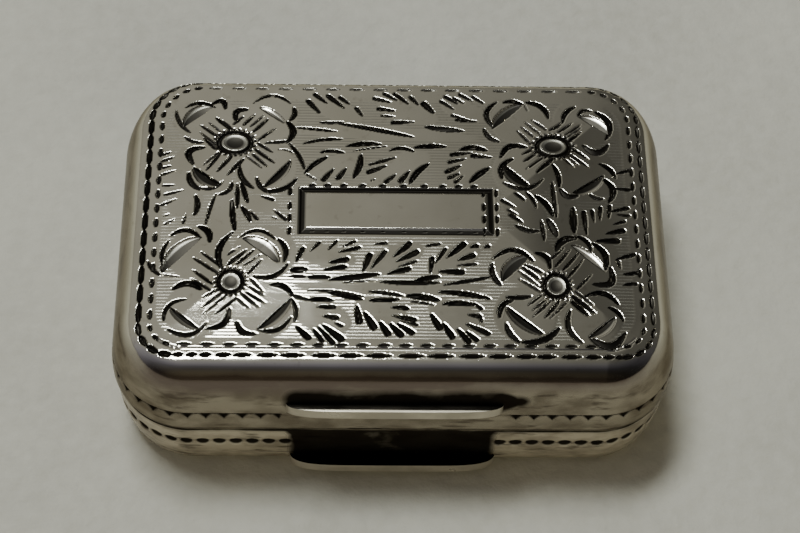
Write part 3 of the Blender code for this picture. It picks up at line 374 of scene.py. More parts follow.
# Fine lines inside the front row, by their insets
FINE_LINES = (2.48, 2.64)
FINE_LINE_HALF = 0.06
FINE_LINE_DEPTH = 0.03

# Nick rows on the walls, and how far beside the lid's lip they start
LID_NICK_HEIGHT = 8.2
LID_NICK_DROP = 0.66
LID_NICK_PITCH = 1.2
BASE_NICK_HEIGHT = 3.87
BASE_NICK_TALL = 0.46
BASE_NICK_PITCH = 1.1
NICK_DEPTH = 0.15
LIP_CLEAR = 0.55

# Dark patches on the front walls round the thumbpieces: the first of each is painted shade on the wall behind
# the thumbpiece, the others are stains. Each is middle, half width, low and high edge, softness
LID_SHADE_AND_STAINS = ((0.15, 7.35, 8.6, 10.75, 0.9), (6.9, 1.9, 9.3, 10.4, 0.7), (-1.9, 1.3, 5.5, 6.35, 0.35))
BASE_SHADE_AND_STAINS = ((-0.1, 6.85, 1.2, 5.75, 0.8), (-1.9, 1.3, 5.2, 6.2, 0.35))

# Grime inside, and at the rims dirt in the seam with painted shade below the lid's edge: where it starts against
# the rim, and how softly
INNER_GRIME = 0.3
LID_RIM_DIRT_AND_SHADE = (0.3, -0.2)
BASE_RIM_DIRT_AND_SHADE = ((-0.7, 0.5), (-0.25, 0.15))
# Faces of cuts deeper than this are flat
CRISP_DEPTH = 0.004
# Where the look of the side starts and how dull it is on the lid, which also sets how much painted light its walls
# take from the base's lighter colour; top and foot of the dark band of painted shade along the lid's front
# shoulder, whose foot lies higher towards the right
SIDE_TOP = 11.95
LID_DULL_AND_PAINTED_LIGHT = 0.3
BAND_TOP = 12.12
BAND_FOOT = 9.9

# Colours, as red, green and blue. A pair is mixed by a noise, those of the walls from the lid to the base. The
# walls are darker than the plate as tarnish and painted shade, and the base's walls lighter than the lid's as
# painted light
PLATE = ((0.78, 0.75, 0.66), (0.66, 0.63, 0.54))
LIGHT_WALL = ((0.26, 0.232, 0.185), (0.66, 0.60, 0.48))
DARK_WALL = ((0.13, 0.11, 0.085), (0.38, 0.335, 0.26))
STREAK = (0.08, 0.062, 0.048)
SPECK = (0.30, 0.26, 0.21)
SHADED_BAND = (0.19, 0.155, 0.135)
# Painted shade behind the thumbpieces and at the seam, with stains and grime
SHADE_AND_GRIME = (0.014, 0.011, 0.009)
# Tarnish in the cuts, with painted shade spread past them towards the back and left
TARNISH_AND_SHADE = (0.012, 0.010, 0.008)
REFLECTION = (0.42, 0.39, 0.34)
LIP = ((0.62, 0.57, 0.47), (0.46, 0.42, 0.34))
# Painted shade on the thumbpieces' tops
LIP_PAINTED_SHADE = (0.006, 0.005, 0.004)
GILT = ((0.86, 0.63, 0.28), (0.72, 0.66, 0.52))
WIRE = ((0.42, 0.40, 0.36), (0.62, 0.60, 0.55))
SPONGE = ((0.17, 0.10, 0.04), (0.66, 0.50, 0.27))
FLOOR = ((0.48, 0.465, 0.41), (0.57, 0.555, 0.49))
FLOOR_GRAIN = (0.64, 0.625, 0.565)

# The camera: place, way it looks, up, and focal length and width of the photograph in pixels
CAMERA_PLACE = (-3.224, -72.257, 124.014)
CAMERA_FORWARD = (0.02700, 0.52208, -0.85247)
CAMERA_UP = (-0.00785, 0.85286, 0.52207)
FOCAL_PIXELS = 1991
PHOTO_WIDTH = 800
SENSOR = 36.0

# Room light from behind the camera to behind the box: share and colour. Then its fall to the right: from
# and to as directions, then the light there
ROOM_STOPS = (
    (0.0, (0.50, 0.42, 0.28, 1)), (0.07, (0.34, 0.29, 0.21, 1)), (0.13, (0.22, 0.20, 0.18, 1)),
    (0.24, (0.30, 0.29, 0.33, 1)), (0.34, (0.60, 0.58, 0.68, 1)), (0.45, (0.94, 0.92, 1.0, 1)),
    (0.6, (1.24, 1.22, 1.09, 1)), (1.0, (1.28, 1.26, 1.12, 1)),
)
ROOM_FALL = (-0.02, 0.18, 1.0, 0.25)


def rise(value, start, run):
    """0 up to start, then evenly to 1 over the run. With a negative run it rises downwards."""
    return np.clip((value - start) / run, 0, 1)


def fade(away, reach):
    """1 at no distance, evenly down to 0 at the reach."""
    return np.clip(1 - away / reach, 0, 1)


def bell(value, height, middle, width):
    """A soft ridge of a given height at the middle, nearly gone at twice the width from it."""
    return height * np.exp(-((value - middle) / width) ** 2)


def lid_profile(crest, ease, power):
    """Heights of the lid's outer section over PROFILE_INSET, without the dome. They always rise, by at
    least a trace, so that the section can be read both ways."""
    out = rise(PROFILE_INSET, crest, -crest)
    drop = (PLATE_EDGE - WIDEST) * (1 - (1 - out ** power) ** (1 / power))
    window = np.hanning(2 * int(ease / PROFILE_STEP / 2) + 3)[1:-1]
    padded = np.pad(drop, len(window) // 2, mode="edge")
    eased = np.convolve(padded, window / window.sum(), mode="valid")
    share = rise(PROFILE_INSET, EASE_START, EASE_RUN)
    return PLATE_EDGE - drop * (1 - share) - eased * share + TINY * PROFILE_INSET


PROFILE_HEIGHT = lid_profile(*SIDE_SECTION)
FRONT_GAIN = np.interp(lid_profile(*FRONT_SECTION), PROFILE_HEIGHT, PROFILE_INSET) - PROFILE_INSET


def plan_inset(x, y):
    """How far inside the body's plan outline a point lies."""
    over_x, over_y = np.abs(x) - CORE_X, np.abs(y) - CORE_Y
    straight = np.minimum(CORNER - over_x, CORNER - over_y)
    rounded = CORNER - np.hypot(np.maximum(over_x, 0), np.maximum(over_y, 0))
    return np.where((over_x > 0) & (over_y > 0), rounded, straight)


def fullness(x, y):
    """1 where the lid has its front section, 0 where it has its side section."""
    over_x, over_y = np.maximum(np.abs(x) - CORE_X, 0), np.maximum(np.abs(y) - CORE_Y, 0)
    return np.where(y < 0, over_y / np.maximum(np.hypot(over_x, over_y), TINY), 0) ** 2


def lid_height(inset, full=0.0):
    """Height of the uncut lid over a plan inset."""
    into = rise(inset, CREST_INSET, DOME_REACH)
    fuller = inset + full * np.interp(inset, PROFILE_INSET, FRONT_GAIN)
    return np.interp(fuller, PROFILE_INSET, PROFILE_HEIGHT) + DOME * (1 - np.cos(math.pi * into)) / 2


def lid_wall_inset(height, full):
    """Inset of the lid's outer wall at heights on shoulder, wall or rim, one column for each fullness."""
    plain = np.interp(height, PROFILE_HEIGHT, PROFILE_INSET)
    columns = [np.interp(column, PROFILE_INSET + share * FRONT_GAIN, PROFILE_INSET)
               for column, share in zip(plain.T, full)]
    return np.array(columns).T + TUCK * rise(height, WIDEST, LID_RIM - WIDEST) ** 2


def foot_curve(down):
    """How far the base's section has curved in, from 0 at its rim to its foot at 1."""
    return (FOOT_INSET - TUCK) * (1 - (1 - down ** BASE_POWER) ** (1 / BASE_POWER))


class Relief:
    """Depth of the cuts, height of their burrs and dirt, negative where rubbed, over the places of a grid."""

    def __init__(self, x, y):
        self.x, self.y = x, y
        self.depth, self.burr, self.darkening = np.zeros((3, len(x)))

    def deepen(self, near, cut):
        """Cut down to a depth where it isn't yet reached."""
        self.depth[near] = np.maximum(self.depth[near], cut)

    def raise_burr(self, near, height):
        """Throw up a burr where none is as high yet."""
        self.burr[near] = np.maximum(self.burr[near], height)

    def sink(self, stroke, left, right, deep, heavy_share=0.5, rubbed=0.0):
        """One tapered cut along a bowed line, with its two flanks as wide as given, and its burr."""
        x0, y0, x1, y1, bow = stroke
        length = math.hypot(x1 - x0, y1 - y0)
        along_x, along_y = (x1 - x0) / length, (y1 - y0) / length
        reach = abs(bow) + left + right + 2 * BURR_WIDTH
        near = (self.x > min(x0, x1) - reach) & (self.x < max(x0, x1) + reach)
        near &= (self.y > min(y0, y1) - reach) & (self.y < max(y0, y1) + reach)
        px, py = self.x[near] - x0, self.y[near] - y0
        share = np.clip((px * along_x + py * along_y) / length, 0, 1)
        slope = 4 * bow * (1 - 2 * share) / length
        off = (py * along_x - px * along_y - 4 * bow * share * (1 - share)) / np.sqrt(1 + slope ** 2)
        even = share ** (math.log(0.5) / math.log(heavy_share))
        taper = np.clip(4 * even * (1 - even), 0, 1) ** TAPER_POWER
        flank = np.maximum(np.where(off > 0, left, right) * taper, TINY)
        cut = deep * taper ** DEPTH_POWER * fade(np.abs(off), flank) ** FLANK_POWER
        cut = np.where(cut > EDGE_SHARE * deep, cut + EDGE_STEP * deep, 0)
        bright = rubbed * rise(np.abs(off) / flank, *RUBBED_SLOPE)
        self.darkening[near] = np.where(cut > self.depth[near], -bright, self.darkening[near])
        self.deepen(near, cut)
        facing_right, away = 0.4, 0.6
        side = 1 if -facing_right * along_y - along_x > 0 else -1
        edge = (left if side > 0 else right) * taper + away * BURR_WIDTH
        self.raise_burr(near, BURR_HEIGHT * taper * fade(np.abs(side * off - edge), BURR_WIDTH))

    def crescents(self, strokes):
        """Bowed cuts, steeper on the side that they bow to."""
        for *line, width in strokes:
            steep = CRESCENT_STEEP_SHARE if line[-1] > 0 else 1 - CRESCENT_STEEP_SHARE
            self.sink(line, width * steep, width * (1 - steep), min(DEPTH_SHARE * width, DEEPEST))

    def rays(self, strokes, heavy_share):
        """Straight cuts with one heavy end."""
        for *ends, width in strokes:
            self.sink((*ends, 0), width / 2, width / 2, min(DEPTH_SHARE * width, DEEPEST), heavy_share)

    def folds(self, strokes):
        """Turned petal tips: a step along the chord, then a slope back up to the petal's edge."""
        for *ends, slope in strokes:
            deep = min(FOLD_DEPTH_SHARE * abs(slope), DEEPEST)
            left, right = (slope, FOLD_STEEP) if slope > 0 else (FOLD_STEEP, -slope)
            self.sink((*ends, 0), left, right, deep, rubbed=RUBBED)

    def row(self, marks):
        """Lens-shaped cuts along a border row."""
        for mark_x, mark_y, turn, length, width in marks:
            step_x, step_y = length / 2 * math.cos(turn), length / 2 * math.sin(turn)
            stroke = (mark_x - step_x, mark_y - step_y, mark_x + step_x, mark_y + step_y, 0)
            self.sink(stroke, width / 2, width / 2, ROW_DEPTH_SHARE * width)

    def bosses(self):
        """Flower centres: a deep ring round a shallow dish, with a fringe of short nicks and beads."""
        dish_depth, dish_reach, dirt_share, dirt_edge, dirt_soft = 0.07, 0.8, 0.28, 1.05, 0.1
        for centre_x, centre_y, half_x, half_y in BOSSES:
            near = (np.abs(self.x - centre_x) < 2 * half_x + 1) & (np.abs(self.y - centre_y) < 2 * half_y + 1)
            px, py = self.x[near] - centre_x, self.y[near] - centre_y
            out = np.hypot(px / half_x, py / half_y)
            wave = np.sin(FRINGE_NICKS * np.arctan2(py, px))
            self.deepen(near, bell(out, *BOSS_RING))
            self.deepen(near, dish_depth * np.clip(1 - (out / dish_reach) ** 2, 0, 1))
            self.deepen(near, bell(out, *BOSS_FRINGE) * np.clip(wave, 0, 1))
            self.raise_burr(near, bell(out, *BOSS_BEADS) * np.clip(-wave, 0, 1))
            self.darkening[near] += dirt_share * rise(out, dirt_edge, -dirt_soft)

    def reserve(self):
        """The blank reserve: four wide bevel cuts and rows of nicks beside them."""
        across = np.maximum(np.abs(self.x) - RESERVE_X, np.abs(self.y) - RESERVE_Y)
        bevel = np.where(across < 0, fade(-across, RESERVE_BEVEL), fade(across, RESERVE_OUTER_BEVEL))
        self.deepen(slice(None), RESERVE_DEPTH * bevel)
        level_half, level_wide, upright_half, upright_wide, deep = 0.24, 0.13, 0.3, 0.14, 0.12
        for x in RESERVE_NICKS_X:
            for y in RESERVE_ROWS:
                self.sink((x - level_half, y, x + level_half, y, 0), level_wide, level_wide, deep)
        for y in RESERVE_NICKS_Y:
            for x in RESERVE_COLUMNS:
                self.sink((x, y - upright_half, x, y + upright_half, 0), upright_wide, upright_wide, deep)


def spaced(start, end, first_pitch, last_pitch):
    """Places from start to end whose pitch changes evenly from the first to the last."""
    run = abs(end - start)
    count = max(int(round(2 * run / (first_pitch + last_pitch))), 1)
    pitches = np.linspace(first_pitch, last_pitch, count)
    edges = np.concatenate([[0], np.cumsum(pitches)]) / pitches.sum()
    middles = (edges[1:] + edges[:-1]) / 2
    return [(start + (end - start) * middle, pitch) for middle, pitch in zip(middles, np.diff(edges) * run)]


def row_marks(insets, sides, front_places=()):
    """Marks of a border row: x, y, direction, length and width. Insets and sides start at the front."""
    low_y, high_y = -HALF_DEPTH + insets[0], HALF_DEPTH - insets[2]
    low_x, high_x = -HALF_WIDTH + insets[3], HALF_WIDTH - insets[1]
    front_radius = FRONT_ROW_RADIUS - (insets[0] - OUTER_ROW[0])
    back_radius = BACK_ROW_RADIUS - (insets[2] - OUTER_ROW[2])
    upright = math.pi / 2
    front_y, back_y = low_y + front_radius, high_y - back_radius
    runs = ((low_x + front_radius, high_x - front_radius, low_y), (front_y, back_y, high_x),
            (high_x - back_radius, low_x + back_radius, high_y), (back_y, front_y, low_x))
    marks = []
    for index, (start, end, level) in enumerate(runs):
        first_pitch, last_pitch, share, width = sides[index]
        places = spaced(start, end, first_pitch, last_pitch)
        if index == 0 and front_places:
            places = zip(front_places, np.gradient(np.array(front_places)))
        for place, pitch in places:
            x, y, turn = (level, place, upright) if index % 2 else (place, level, 0)
            marks.append((x, y, turn, pitch * share, width))
    for corner_x, side_x, (*_, share, width) in ((low_x, -1, sides[3]), (high_x, 1, sides[1])):
        for corner_y, side_y, radius in ((low_y, -1, front_radius), (high_y, 1, back_radius)):
            for place, pitch in spaced(0, radius * upright, CORNER_PITCH, CORNER_PITCH):
                turn = place / radius
                x = corner_x - side_x * radius * (1 - math.sin(turn))
                y = corner_y - side_y * radius * (1 - math.cos(turn))
                marks.append((x, y, -side_x * side_y * turn, pitch * share, width))
    return marks


def hatch_share(x, y):
    """Where the shading lines fill the ground: 1 on open ground, 0 on petals, leaves, stems and reserve."""
    shares = [rise(np.maximum(np.abs(x) - RESERVE_X, np.abs(y) - RESERVE_Y), RESERVE_CLEAR, GROUND_FADE)]
    for centre_x, centre_y, *_ in BOSSES:
        shares.append(rise(np.hypot(x - centre_x, y - centre_y), PETAL_OUT, PETAL_FADE))
        for side_x in (-PETAL_OUT, PETAL_OUT):
            for side_y in (-PETAL_OUT, PETAL_OUT):
                away = np.hypot(x - centre_x - side_x, y - centre_y - side_y)
                shares.append(rise(away, PETAL_RADIUS, PETAL_FADE))
    for centre_x, centre_y, half_long, half_wide, degrees in PLAIN_GROUNDS:
        turn = math.radians(degrees)
        px, py = x - centre_x, y - centre_y
        along = (px * math.cos(turn) + py * math.sin(turn)) / half_long
        aside = (py * math.cos(turn) - px * math.sin(turn)) / half_wide
        shares.append(rise(np.hypot(along, aside), 1, GROUND_FADE))
    return np.minimum.reduce(shares)


def engraving(x, y):
    """Depth of cuts and of shading lines, height of burrs, and dirt, negative where it is rubbed off."""
    drawn = Relief(x - DRAWING_X, y - DRAWING_Y)
    drawn.crescents(FLOWER_CRESCENTS + STEM_CRESCENTS)
    drawn.rays(FLOWER_RAYS, RAY_HEAVY_SHARE)
    drawn.folds(FLOWER_FOLDS)
    drawn.rays(LEAF_CUTS, LEAF_HEAVY_SHARE)
    drawn.bosses()
    drawn.reserve()
    borders = Relief(x, y)
    borders.row(row_marks(OUTER_ROW, OUTER_SIDES, FRONT_DASHES))
    borders.row(row_marks(INNER_ROW, INNER_SIDES))
    inset = plan_inset(x, y)
    lines = sum(fade(np.abs(inset - line), FINE_LINE_HALF) for line in FINE_LINES)
    front_reach, round_corner = 4, 2
    front = (y < -HALF_DEPTH + front_reach) & (np.abs(x) < CORE_X + round_corner)
    borders.deepen(slice(None), FINE_LINE_DEPTH * lines * front)
    ground = hatch_share(drawn.x, drawn.y) * rise(inset - max(INNER_ROW), BORDER_CLEAR, GROUND_FADE)
    fine = HATCH_DEPTH * np.clip(np.cos(2 * math.pi * y / HATCH_PITCH), 0, 1) * ground
    depth = np.maximum(drawn.depth, borders.depth)
    burr = np.maximum(drawn.burr, BORDER_BURR * borders.burr) * fade(depth, BURR_CUT)
    return depth, fine, burr, drawn.darkening


def make_mesh(name, points, quads, caps=()):
    """A mesh from points in millimetres, four-cornered faces and a few many-cornered caps."""
    mesh = bpy.data.meshes.new(name)
    corners = np.concatenate([quads.ravel()] + [np.asarray(cap) for cap in caps]).astype(np.int32)
    sizes = np.concatenate([np.full(len(quads), 4), [len(cap) for cap in caps]]).astype(np.int32)
    starts = np.concatenate([[0], np.cumsum(sizes)[:-1]]).astype(np.int32)
    mesh.vertices.add(len(points))
    mesh.vertices.foreach_set("co", (points * MM).astype(np.float32).ravel())
    mesh.loops.add(len(corners))
    mesh.loops.foreach_set("vertex_index", corners)
    mesh.polygons.add(len(sizes))
    mesh.polygons.foreach_set("loop_start", starts)
    mesh.update(calc_edges=True)
    mesh.validate()
    mesh.shade_smooth()
    return mesh


def add_object(name, data):
    """Put a mesh, lamp or camera in the scene."""
    item = bpy.data.objects.new(name, data)
    bpy.context.scene.collection.objects.link(item)
    return item


def add_piece(name, mesh, materials):
    """Put a mesh in the scene with its materials."""
    for material in materials:
        mesh.materials.append(material)
    return add_object(name, mesh)


def set_attributes(mesh, **layers):
    """Store one number for each point of a mesh under each name."""
    for name, values in layers.items():
        layer = mesh.attributes.new(name, 'FLOAT', 'POINT')
        layer.data.foreach_set("value", np.ascontiguousarray(values, dtype=np.float32))


def mark_inside(mesh, *spans):
    """Give the second material to the faces in the spans."""
    inside = np.zeros(len(mesh.polygons), np.int32)
    for span in spans:
        inside[span] = 1
    mesh.polygons.foreach_set("material_index", inside)


def top_grid():
    """Plan places of the grid over the lid's top, rounded to the corners."""
    wide, deep = HALF_WIDTH - GRID_INSET, HALF_DEPTH - GRID_INSET
    columns = 2 * int(round(wide / STEP_X)) + 1
    rows = 2 * int(round(deep / STEP_Y)) + 1
    x, y = np.meshgrid(np.linspace(-wide, wide, columns), np.linspace(-deep, deep, rows))
    u, v = rise(np.abs(x), CORE_X, GRID_RADIUS), rise(np.abs(y), CORE_Y, GRID_RADIUS)
    corner = (u > 0) & (v > 0)
    round_x = np.sign(x) * (CORE_X + GRID_RADIUS * u * np.sqrt(1 - v ** 2 / 2))
    round_y = np.sign(y) * (CORE_Y + GRID_RADIUS * v * np.sqrt(1 - u ** 2 / 2))
    return np.where(corner, round_x, x), np.where(corner, round_y, y)


def grid_index(rows, columns):
    """The number of each point of a grid."""
    return np.arange(rows * columns).reshape(rows, columns)


def grid_loop(rows, columns):
    """Indices of a grid's outer points, anticlockwise from its first corner."""
    index = grid_index(rows, columns)
    return np.concatenate([index[0, :-1], index[:-1, -1], index[-1, :0:-1], index[:0:-1, 0]])


def grid_quads(rows, columns):
    """Faces of a grid, seen anticlockwise from above."""
    index = grid_index(rows, columns)
    return np.stack([index[:-1, :-1], index[:-1, 1:], index[1:, 1:], index[1:, :-1]], -1).reshape(-1, 4)


def ring_loops(first, count, rings):
    """Point indices of rings of equal length that follow one another."""
    return [first + count * index + np.arange(count) for index in range(rings)]


def ring_quads(loops, outward=True):
    """Faces between each closed loop and the next, which lies outside or below, or else inside or above."""
    pairs = zip(loops, loops[1:]) if outward else zip(loops[1:], loops)
    return [np.stack([inner, outer, np.roll(outer, -1), np.roll(inner, -1)], -1) for inner, outer in pairs]


def levels(start, runs):
    """Heights from a start through runs, each given by its end and its number of steps."""
    heights = [start]
    for end, count in runs:
        heights.extend(np.linspace(heights[-1], end, count + 1)[1:])
    return np.array(heights)


class Outline:
    """The loop of points round the grid: its core, its outward direction and the way round the box."""

    def __init__(self):
        x, y = top_grid()
        self.rows, self.columns = x.shape
        self.loop = grid_loop(self.rows, self.columns)
        x, y = x.ravel()[self.loop], y.ravel()[self.loop]
        self.core_x, self.core_y = np.clip(x, -CORE_X, CORE_X), np.clip(y, -CORE_Y, CORE_Y)
        self.out_x, self.out_y = (x - self.core_x) / GRID_RADIUS, (y - self.core_y) / GRID_RADIUS
        self.wide_x, self.wide_y = self.place(0)
        steps = np.hypot(*(np.diff(line, append=line[0]) for line in (self.wide_x, self.wide_y)))
        self.way = np.concatenate([[0], np.cumsum(steps)[:-1]]) / steps.sum()
        self.total = steps.sum()

    def place(self, inset):
        """Plan places at an inset from the body's outline."""
        return self.core_x + (CORNER - inset) * self.out_x, self.core_y + (CORNER - inset) * self.out_y

    def points(self, insets, heights):
        """Points of rings round the box, one row a ring."""
        x, y = self.place(insets)
        return np.stack([x, y, np.broadcast_to(heights, x.shape)], -1).reshape(-1, 3)

    def beside_lip(self, half_width):
        """0 on the front wall behind a thumbpiece, rising to 1 past its ends, and 1 elsewhere."""
        front_band, softness = 0.2, 0.3
        behind = rise(np.abs(self.wide_x), half_width, -softness)
        return 1 - np.where(self.wide_y < -HALF_DEPTH + front_band, behind, 0)

    def shade_and_stains(self, height, boxes):
        """1 on the front wall inside rounded boxes: middle x, half width, low and high edge, softness."""
        front_band, reach, total = 1.0, 1.5, 0
        for middle, half, low, high, soft in boxes:
            over_x = np.abs(self.wide_x - middle) - half + soft
            over_z = np.abs(height - (low + high) / 2) - (high - low) / 2 + soft
            away = np.hypot(np.maximum(over_x, 0), np.maximum(over_z, 0)) / soft
            total = total + np.clip(reach - away, 0, 1)
        return np.where(self.wide_y < -HALF_DEPTH + front_band, total, 0)

    def rim(self, inset, side):
        """Height of a shell's rim, which gives way to the hinge barrel behind. side is 1 for the lid."""
        behind = np.clip(GROOVE_RADIUS ** 2 - (BARREL_Y - self.place(inset)[1]) ** 2, 0, None)
        level = LID_RIM if side > 0 else BASE_RIM
        return SEAM + side * np.maximum(np.sqrt(behind), abs(level - SEAM))

    def phase(self, pitch):
        """Place within a nick's pitch, from -0.5 to 0.5. A whole number of nicks goes round the box."""
        return (self.way * round(self.total / pitch)) % 1 - 0.5

    def triangles(self, height):
        """Depth of the lid's row of nicks, triangles that hang from a line."""
        widest, nick_power, line_share, line_half = 0.49, 0.6, 0.75, 0.06
        top, foot = LID_NICK_HEIGHT, LID_NICK_HEIGHT - LID_NICK_DROP
        half = widest * (1 - rise(height, top, -LID_NICK_DROP)) + TINY
        nick = np.where((height <= top) & (height >= foot), fade(np.abs(self.phase(LID_NICK_PITCH)), half), 0)
        return NICK_DEPTH * np.maximum(nick ** nick_power, line_share * fade(np.abs(height - top), line_half))

    def almonds(self, height):
        """Depth of the base's row of nicks, almonds that bend upward at their ends."""
        widest, bend, nick_power, plain_back = 0.43, 0.15, 0.55, 2.2
        wide = (self.phase(BASE_NICK_PITCH) / widest) ** 2
        tall = (height - BASE_NICK_HEIGHT) / BASE_NICK_TALL
        nick = NICK_DEPTH * np.clip(1 - wide - (tall - bend * wide) ** 2, 0, 1) ** nick_power
        return nick * (self.wide_y <= HALF_DEPTH - plain_back)


def lid_mesh(outline):
    """The engraved lid: top grid, shoulder and wall rings, rim, and the inside of the pressed shell."""
    x, y = (places.ravel() for places in top_grid())
    depth, fine, burr, dirt = engraving(x, y)
    top = np.stack([x, y, lid_height(plan_inset(x, y), fullness(x, y)) - depth - fine + burr], -1)

    heights = levels(float(lid_height(GRID_INSET, 1.0)), LID_RINGS)
    rim, inner_rim = outline.rim(0, 1), outline.rim(WALL, 1)
    share = rise(heights, PLAIN_HEIGHT, LID_RIM + EDGE_ROUND - PLAIN_HEIGHT)[:, None]
    full = np.clip(-outline.out_y, 0, 1) ** 2
    lift = rise(heights, SHOULDER_FOOT, heights[0] - SHOULDER_FOOT)[:, None]
    shoulder = SHOULDER_FOOT + (lid_height(GRID_INSET, full) - SHOULDER_FOOT) * lift
    upper = np.where(heights[:, None] > SHOULDER_FOOT, shoulder, heights[:, None])
    tall = np.where(share > 0, PLAIN_HEIGHT - share * (PLAIN_HEIGHT - rim - EDGE_ROUND), upper)[1:]
    nicks = outline.triangles(tall) * outline.beside_lip(LID_LIP_HIGH.x + LIP_CLEAR)
    inset = lid_wall_inset(tall, full) + nicks

    count = len(rim)
    edge = np.vstack([inset[-1] + EDGE_ROUND, inset[-1] + WALL - EDGE_ROUND])
    turns = np.linspace(0, math.pi / 2, INNER_STEPS)
    ceiling = PLATE_EDGE - PLATE_EXTRA - WALL
    inner_inset = WALL + (CREST_INSET + PLATE_EXTRA - WALL) * (1 - np.cos(turns) ** (2 / SHOULDER_POWER))
    inner_inset = np.concatenate([[WALL + INNER_LIP], inner_inset, DEEP_INSETS])
    inner_height = PLAIN_HEIGHT + (ceiling - PLAIN_HEIGHT) * np.sin(turns) ** (2 / SHOULDER_POWER)
    inner_height = np.concatenate([inner_height, lid_height(np.array(DEEP_INSETS)) - PLATE_EXTRA - WALL])
    insets = np.vstack([inset, edge, np.repeat(inner_inset[:, None], count, 1)])
    inner_height = np.repeat(inner_height[:, None], count, 1)
    ring_heights = np.vstack([tall, rim, inner_rim, inner_rim + EDGE_ROUND, inner_height])

    points = np.vstack([top, outline.points(insets, ring_heights)])
    loops = [outline.loop] + ring_loops(len(top), count, len(insets))
    quads = np.vstack([grid_quads(outline.rows, outline.columns)] + ring_quads(loops))
    mesh = make_mesh("lid_engraved", points, quads, [loops[-1][::-1]])
    mark_inside(mesh, slice((outline.rows - 1) * (outline.columns - 1) + count * (len(tall) + 2), None))
    carved = np.concatenate([depth > CRISP_DEPTH, np.zeros(len(points) - len(top), bool)])
    layer = mesh.attributes.get("sharp_face") or mesh.attributes.new("sharp_face", 'BOOLEAN', 'FACE')
    layer.data.foreach_set("value", np.append(carved[quads].any(axis=1), False))

    full_depth, spread_back, spread_left, in_hatching = 0.12, 0.6, 0.4, 0.34
    cut = rise(depth, 0, full_depth).reshape(outline.rows, outline.columns)
    # Tarnish spreads past each cut towards the back and the left: painted shade over the flank that would catch
    # the light
    cut[1:] = np.maximum(cut[1:], spread_back * cut[:-1])
    cut[:, :-1] = np.maximum(cut[:, :-1], spread_left * cut[:, 1:])
    cut = cut.ravel() + in_hatching * fine / HATCH_DEPTH + dirt
    blank = np.zeros((len(insets) - len(tall), count))
    cut = np.concatenate([cut, np.vstack([nicks / NICK_DEPTH, blank]).ravel()])
    rim_dark_start, rim_dark_run = LID_RIM_DIRT_AND_SHADE
    # Painted shade behind the thumbpiece and stains, with dirt and painted shade at the rim
    grime = np.clip(outline.shade_and_stains(tall, LID_SHADE_AND_STAINS) + rise(tall, rim + rim_dark_start, rim_dark_run), 0, 1)
    grime = np.concatenate([np.zeros(len(top)), grime.ravel(), (blank + INNER_GRIME).ravel()])
    x, y, height = points.T
    side_soft, top_soft, foot_soft, foot_lift, lift_start, lift_run = 1.1, 0.4, 1.3, 0.5, 3, 4
    side = rise(height, SIDE_TOP, -side_soft)
    foot = BAND_FOOT + foot_lift * rise(x, lift_start, lift_run)
    # Painted shade along the lid's front shoulder, in place of a dark reflection
    band = rise(height, BAND_TOP, -top_soft) * rise(height, foot, foot_soft) * fullness(x, y)
    set_attributes(mesh, cut=np.clip(cut, 0, 1), grime=grime, side=side, dull=LID_DULL_AND_PAINTED_LIGHT * side, band=band)
    return mesh


def base_mesh(outline):
    """The base: wall with its row of almonds, flat foot, rim, and the inside of the tray."""
    rim, inner_rim = outline.rim(TUCK, -1), outline.rim(WALL + TUCK, -1)
    heights = levels(BASE_RIM - EDGE_ROUND, BASE_RINGS)
    share = rise(heights, BASE_WALL_TOP, BASE_RIM - EDGE_ROUND - BASE_WALL_TOP)[:, None]
    upper = BASE_WALL_TOP + share * (rim - EDGE_ROUND - BASE_WALL_TOP)
    tall = np.where(share > 0, upper, heights[:, None])[::-1]
    nicks = outline.almonds(tall) * outline.beside_lip(BASE_LIP_HIGH.x)
    inset = TUCK + foot_curve(rise(tall, BASE_RIM, -BASE_RIM)) + nicks

    count = len(rim)
    tray = levels(TRAY_TOP, TRAY_RINGS)[:, None]
    tray_inset = TUCK + WALL + foot_curve(1 - rise(tray, WALL, BASE_RIM - WALL))
    edge = np.vstack([inset[-1] + EDGE_ROUND, inset[-1] + WALL - EDGE_ROUND, np.full(count, TUCK + WALL)])
    insets = np.vstack([inset, edge, np.repeat(tray_inset, count, 1)])
    tray = np.minimum(tray, inner_rim - 2 * EDGE_ROUND)
    points = outline.points(insets, np.vstack([tall, rim, inner_rim, inner_rim - EDGE_ROUND, tray]))
    loops = ring_loops(0, count, len(insets))
    mesh = make_mesh("base_dressed", points, np.vstack(ring_quads(loops, False)), [loops[0][::-1], loops[-1]])
    mark_inside(mesh, slice(count * (len(tall) + 1), -2), -1)

    blank = np.zeros((len(insets) - len(tall), count))
    at_rim = sum(rise(tall - rim, *run) for run in BASE_RIM_DIRT_AND_SHADE) / 2
    # Painted shade behind the thumbpiece and below the lid's edge, with stains and dirt in the seam
    grime = np.clip(outline.shade_and_stains(tall, BASE_SHADE_AND_STAINS) + at_rim, 0, 1)
    whole = np.ones(len(points))
    # The base's walls take the full lighter wall colour, a painted light
    set_attributes(mesh, cut=np.vstack([nicks / NICK_DEPTH, blank]).ravel(),
                   grime=np.vstack([grime, blank + INNER_GRIME]).ravel(), side=whole, dull=whole)
    return mesh


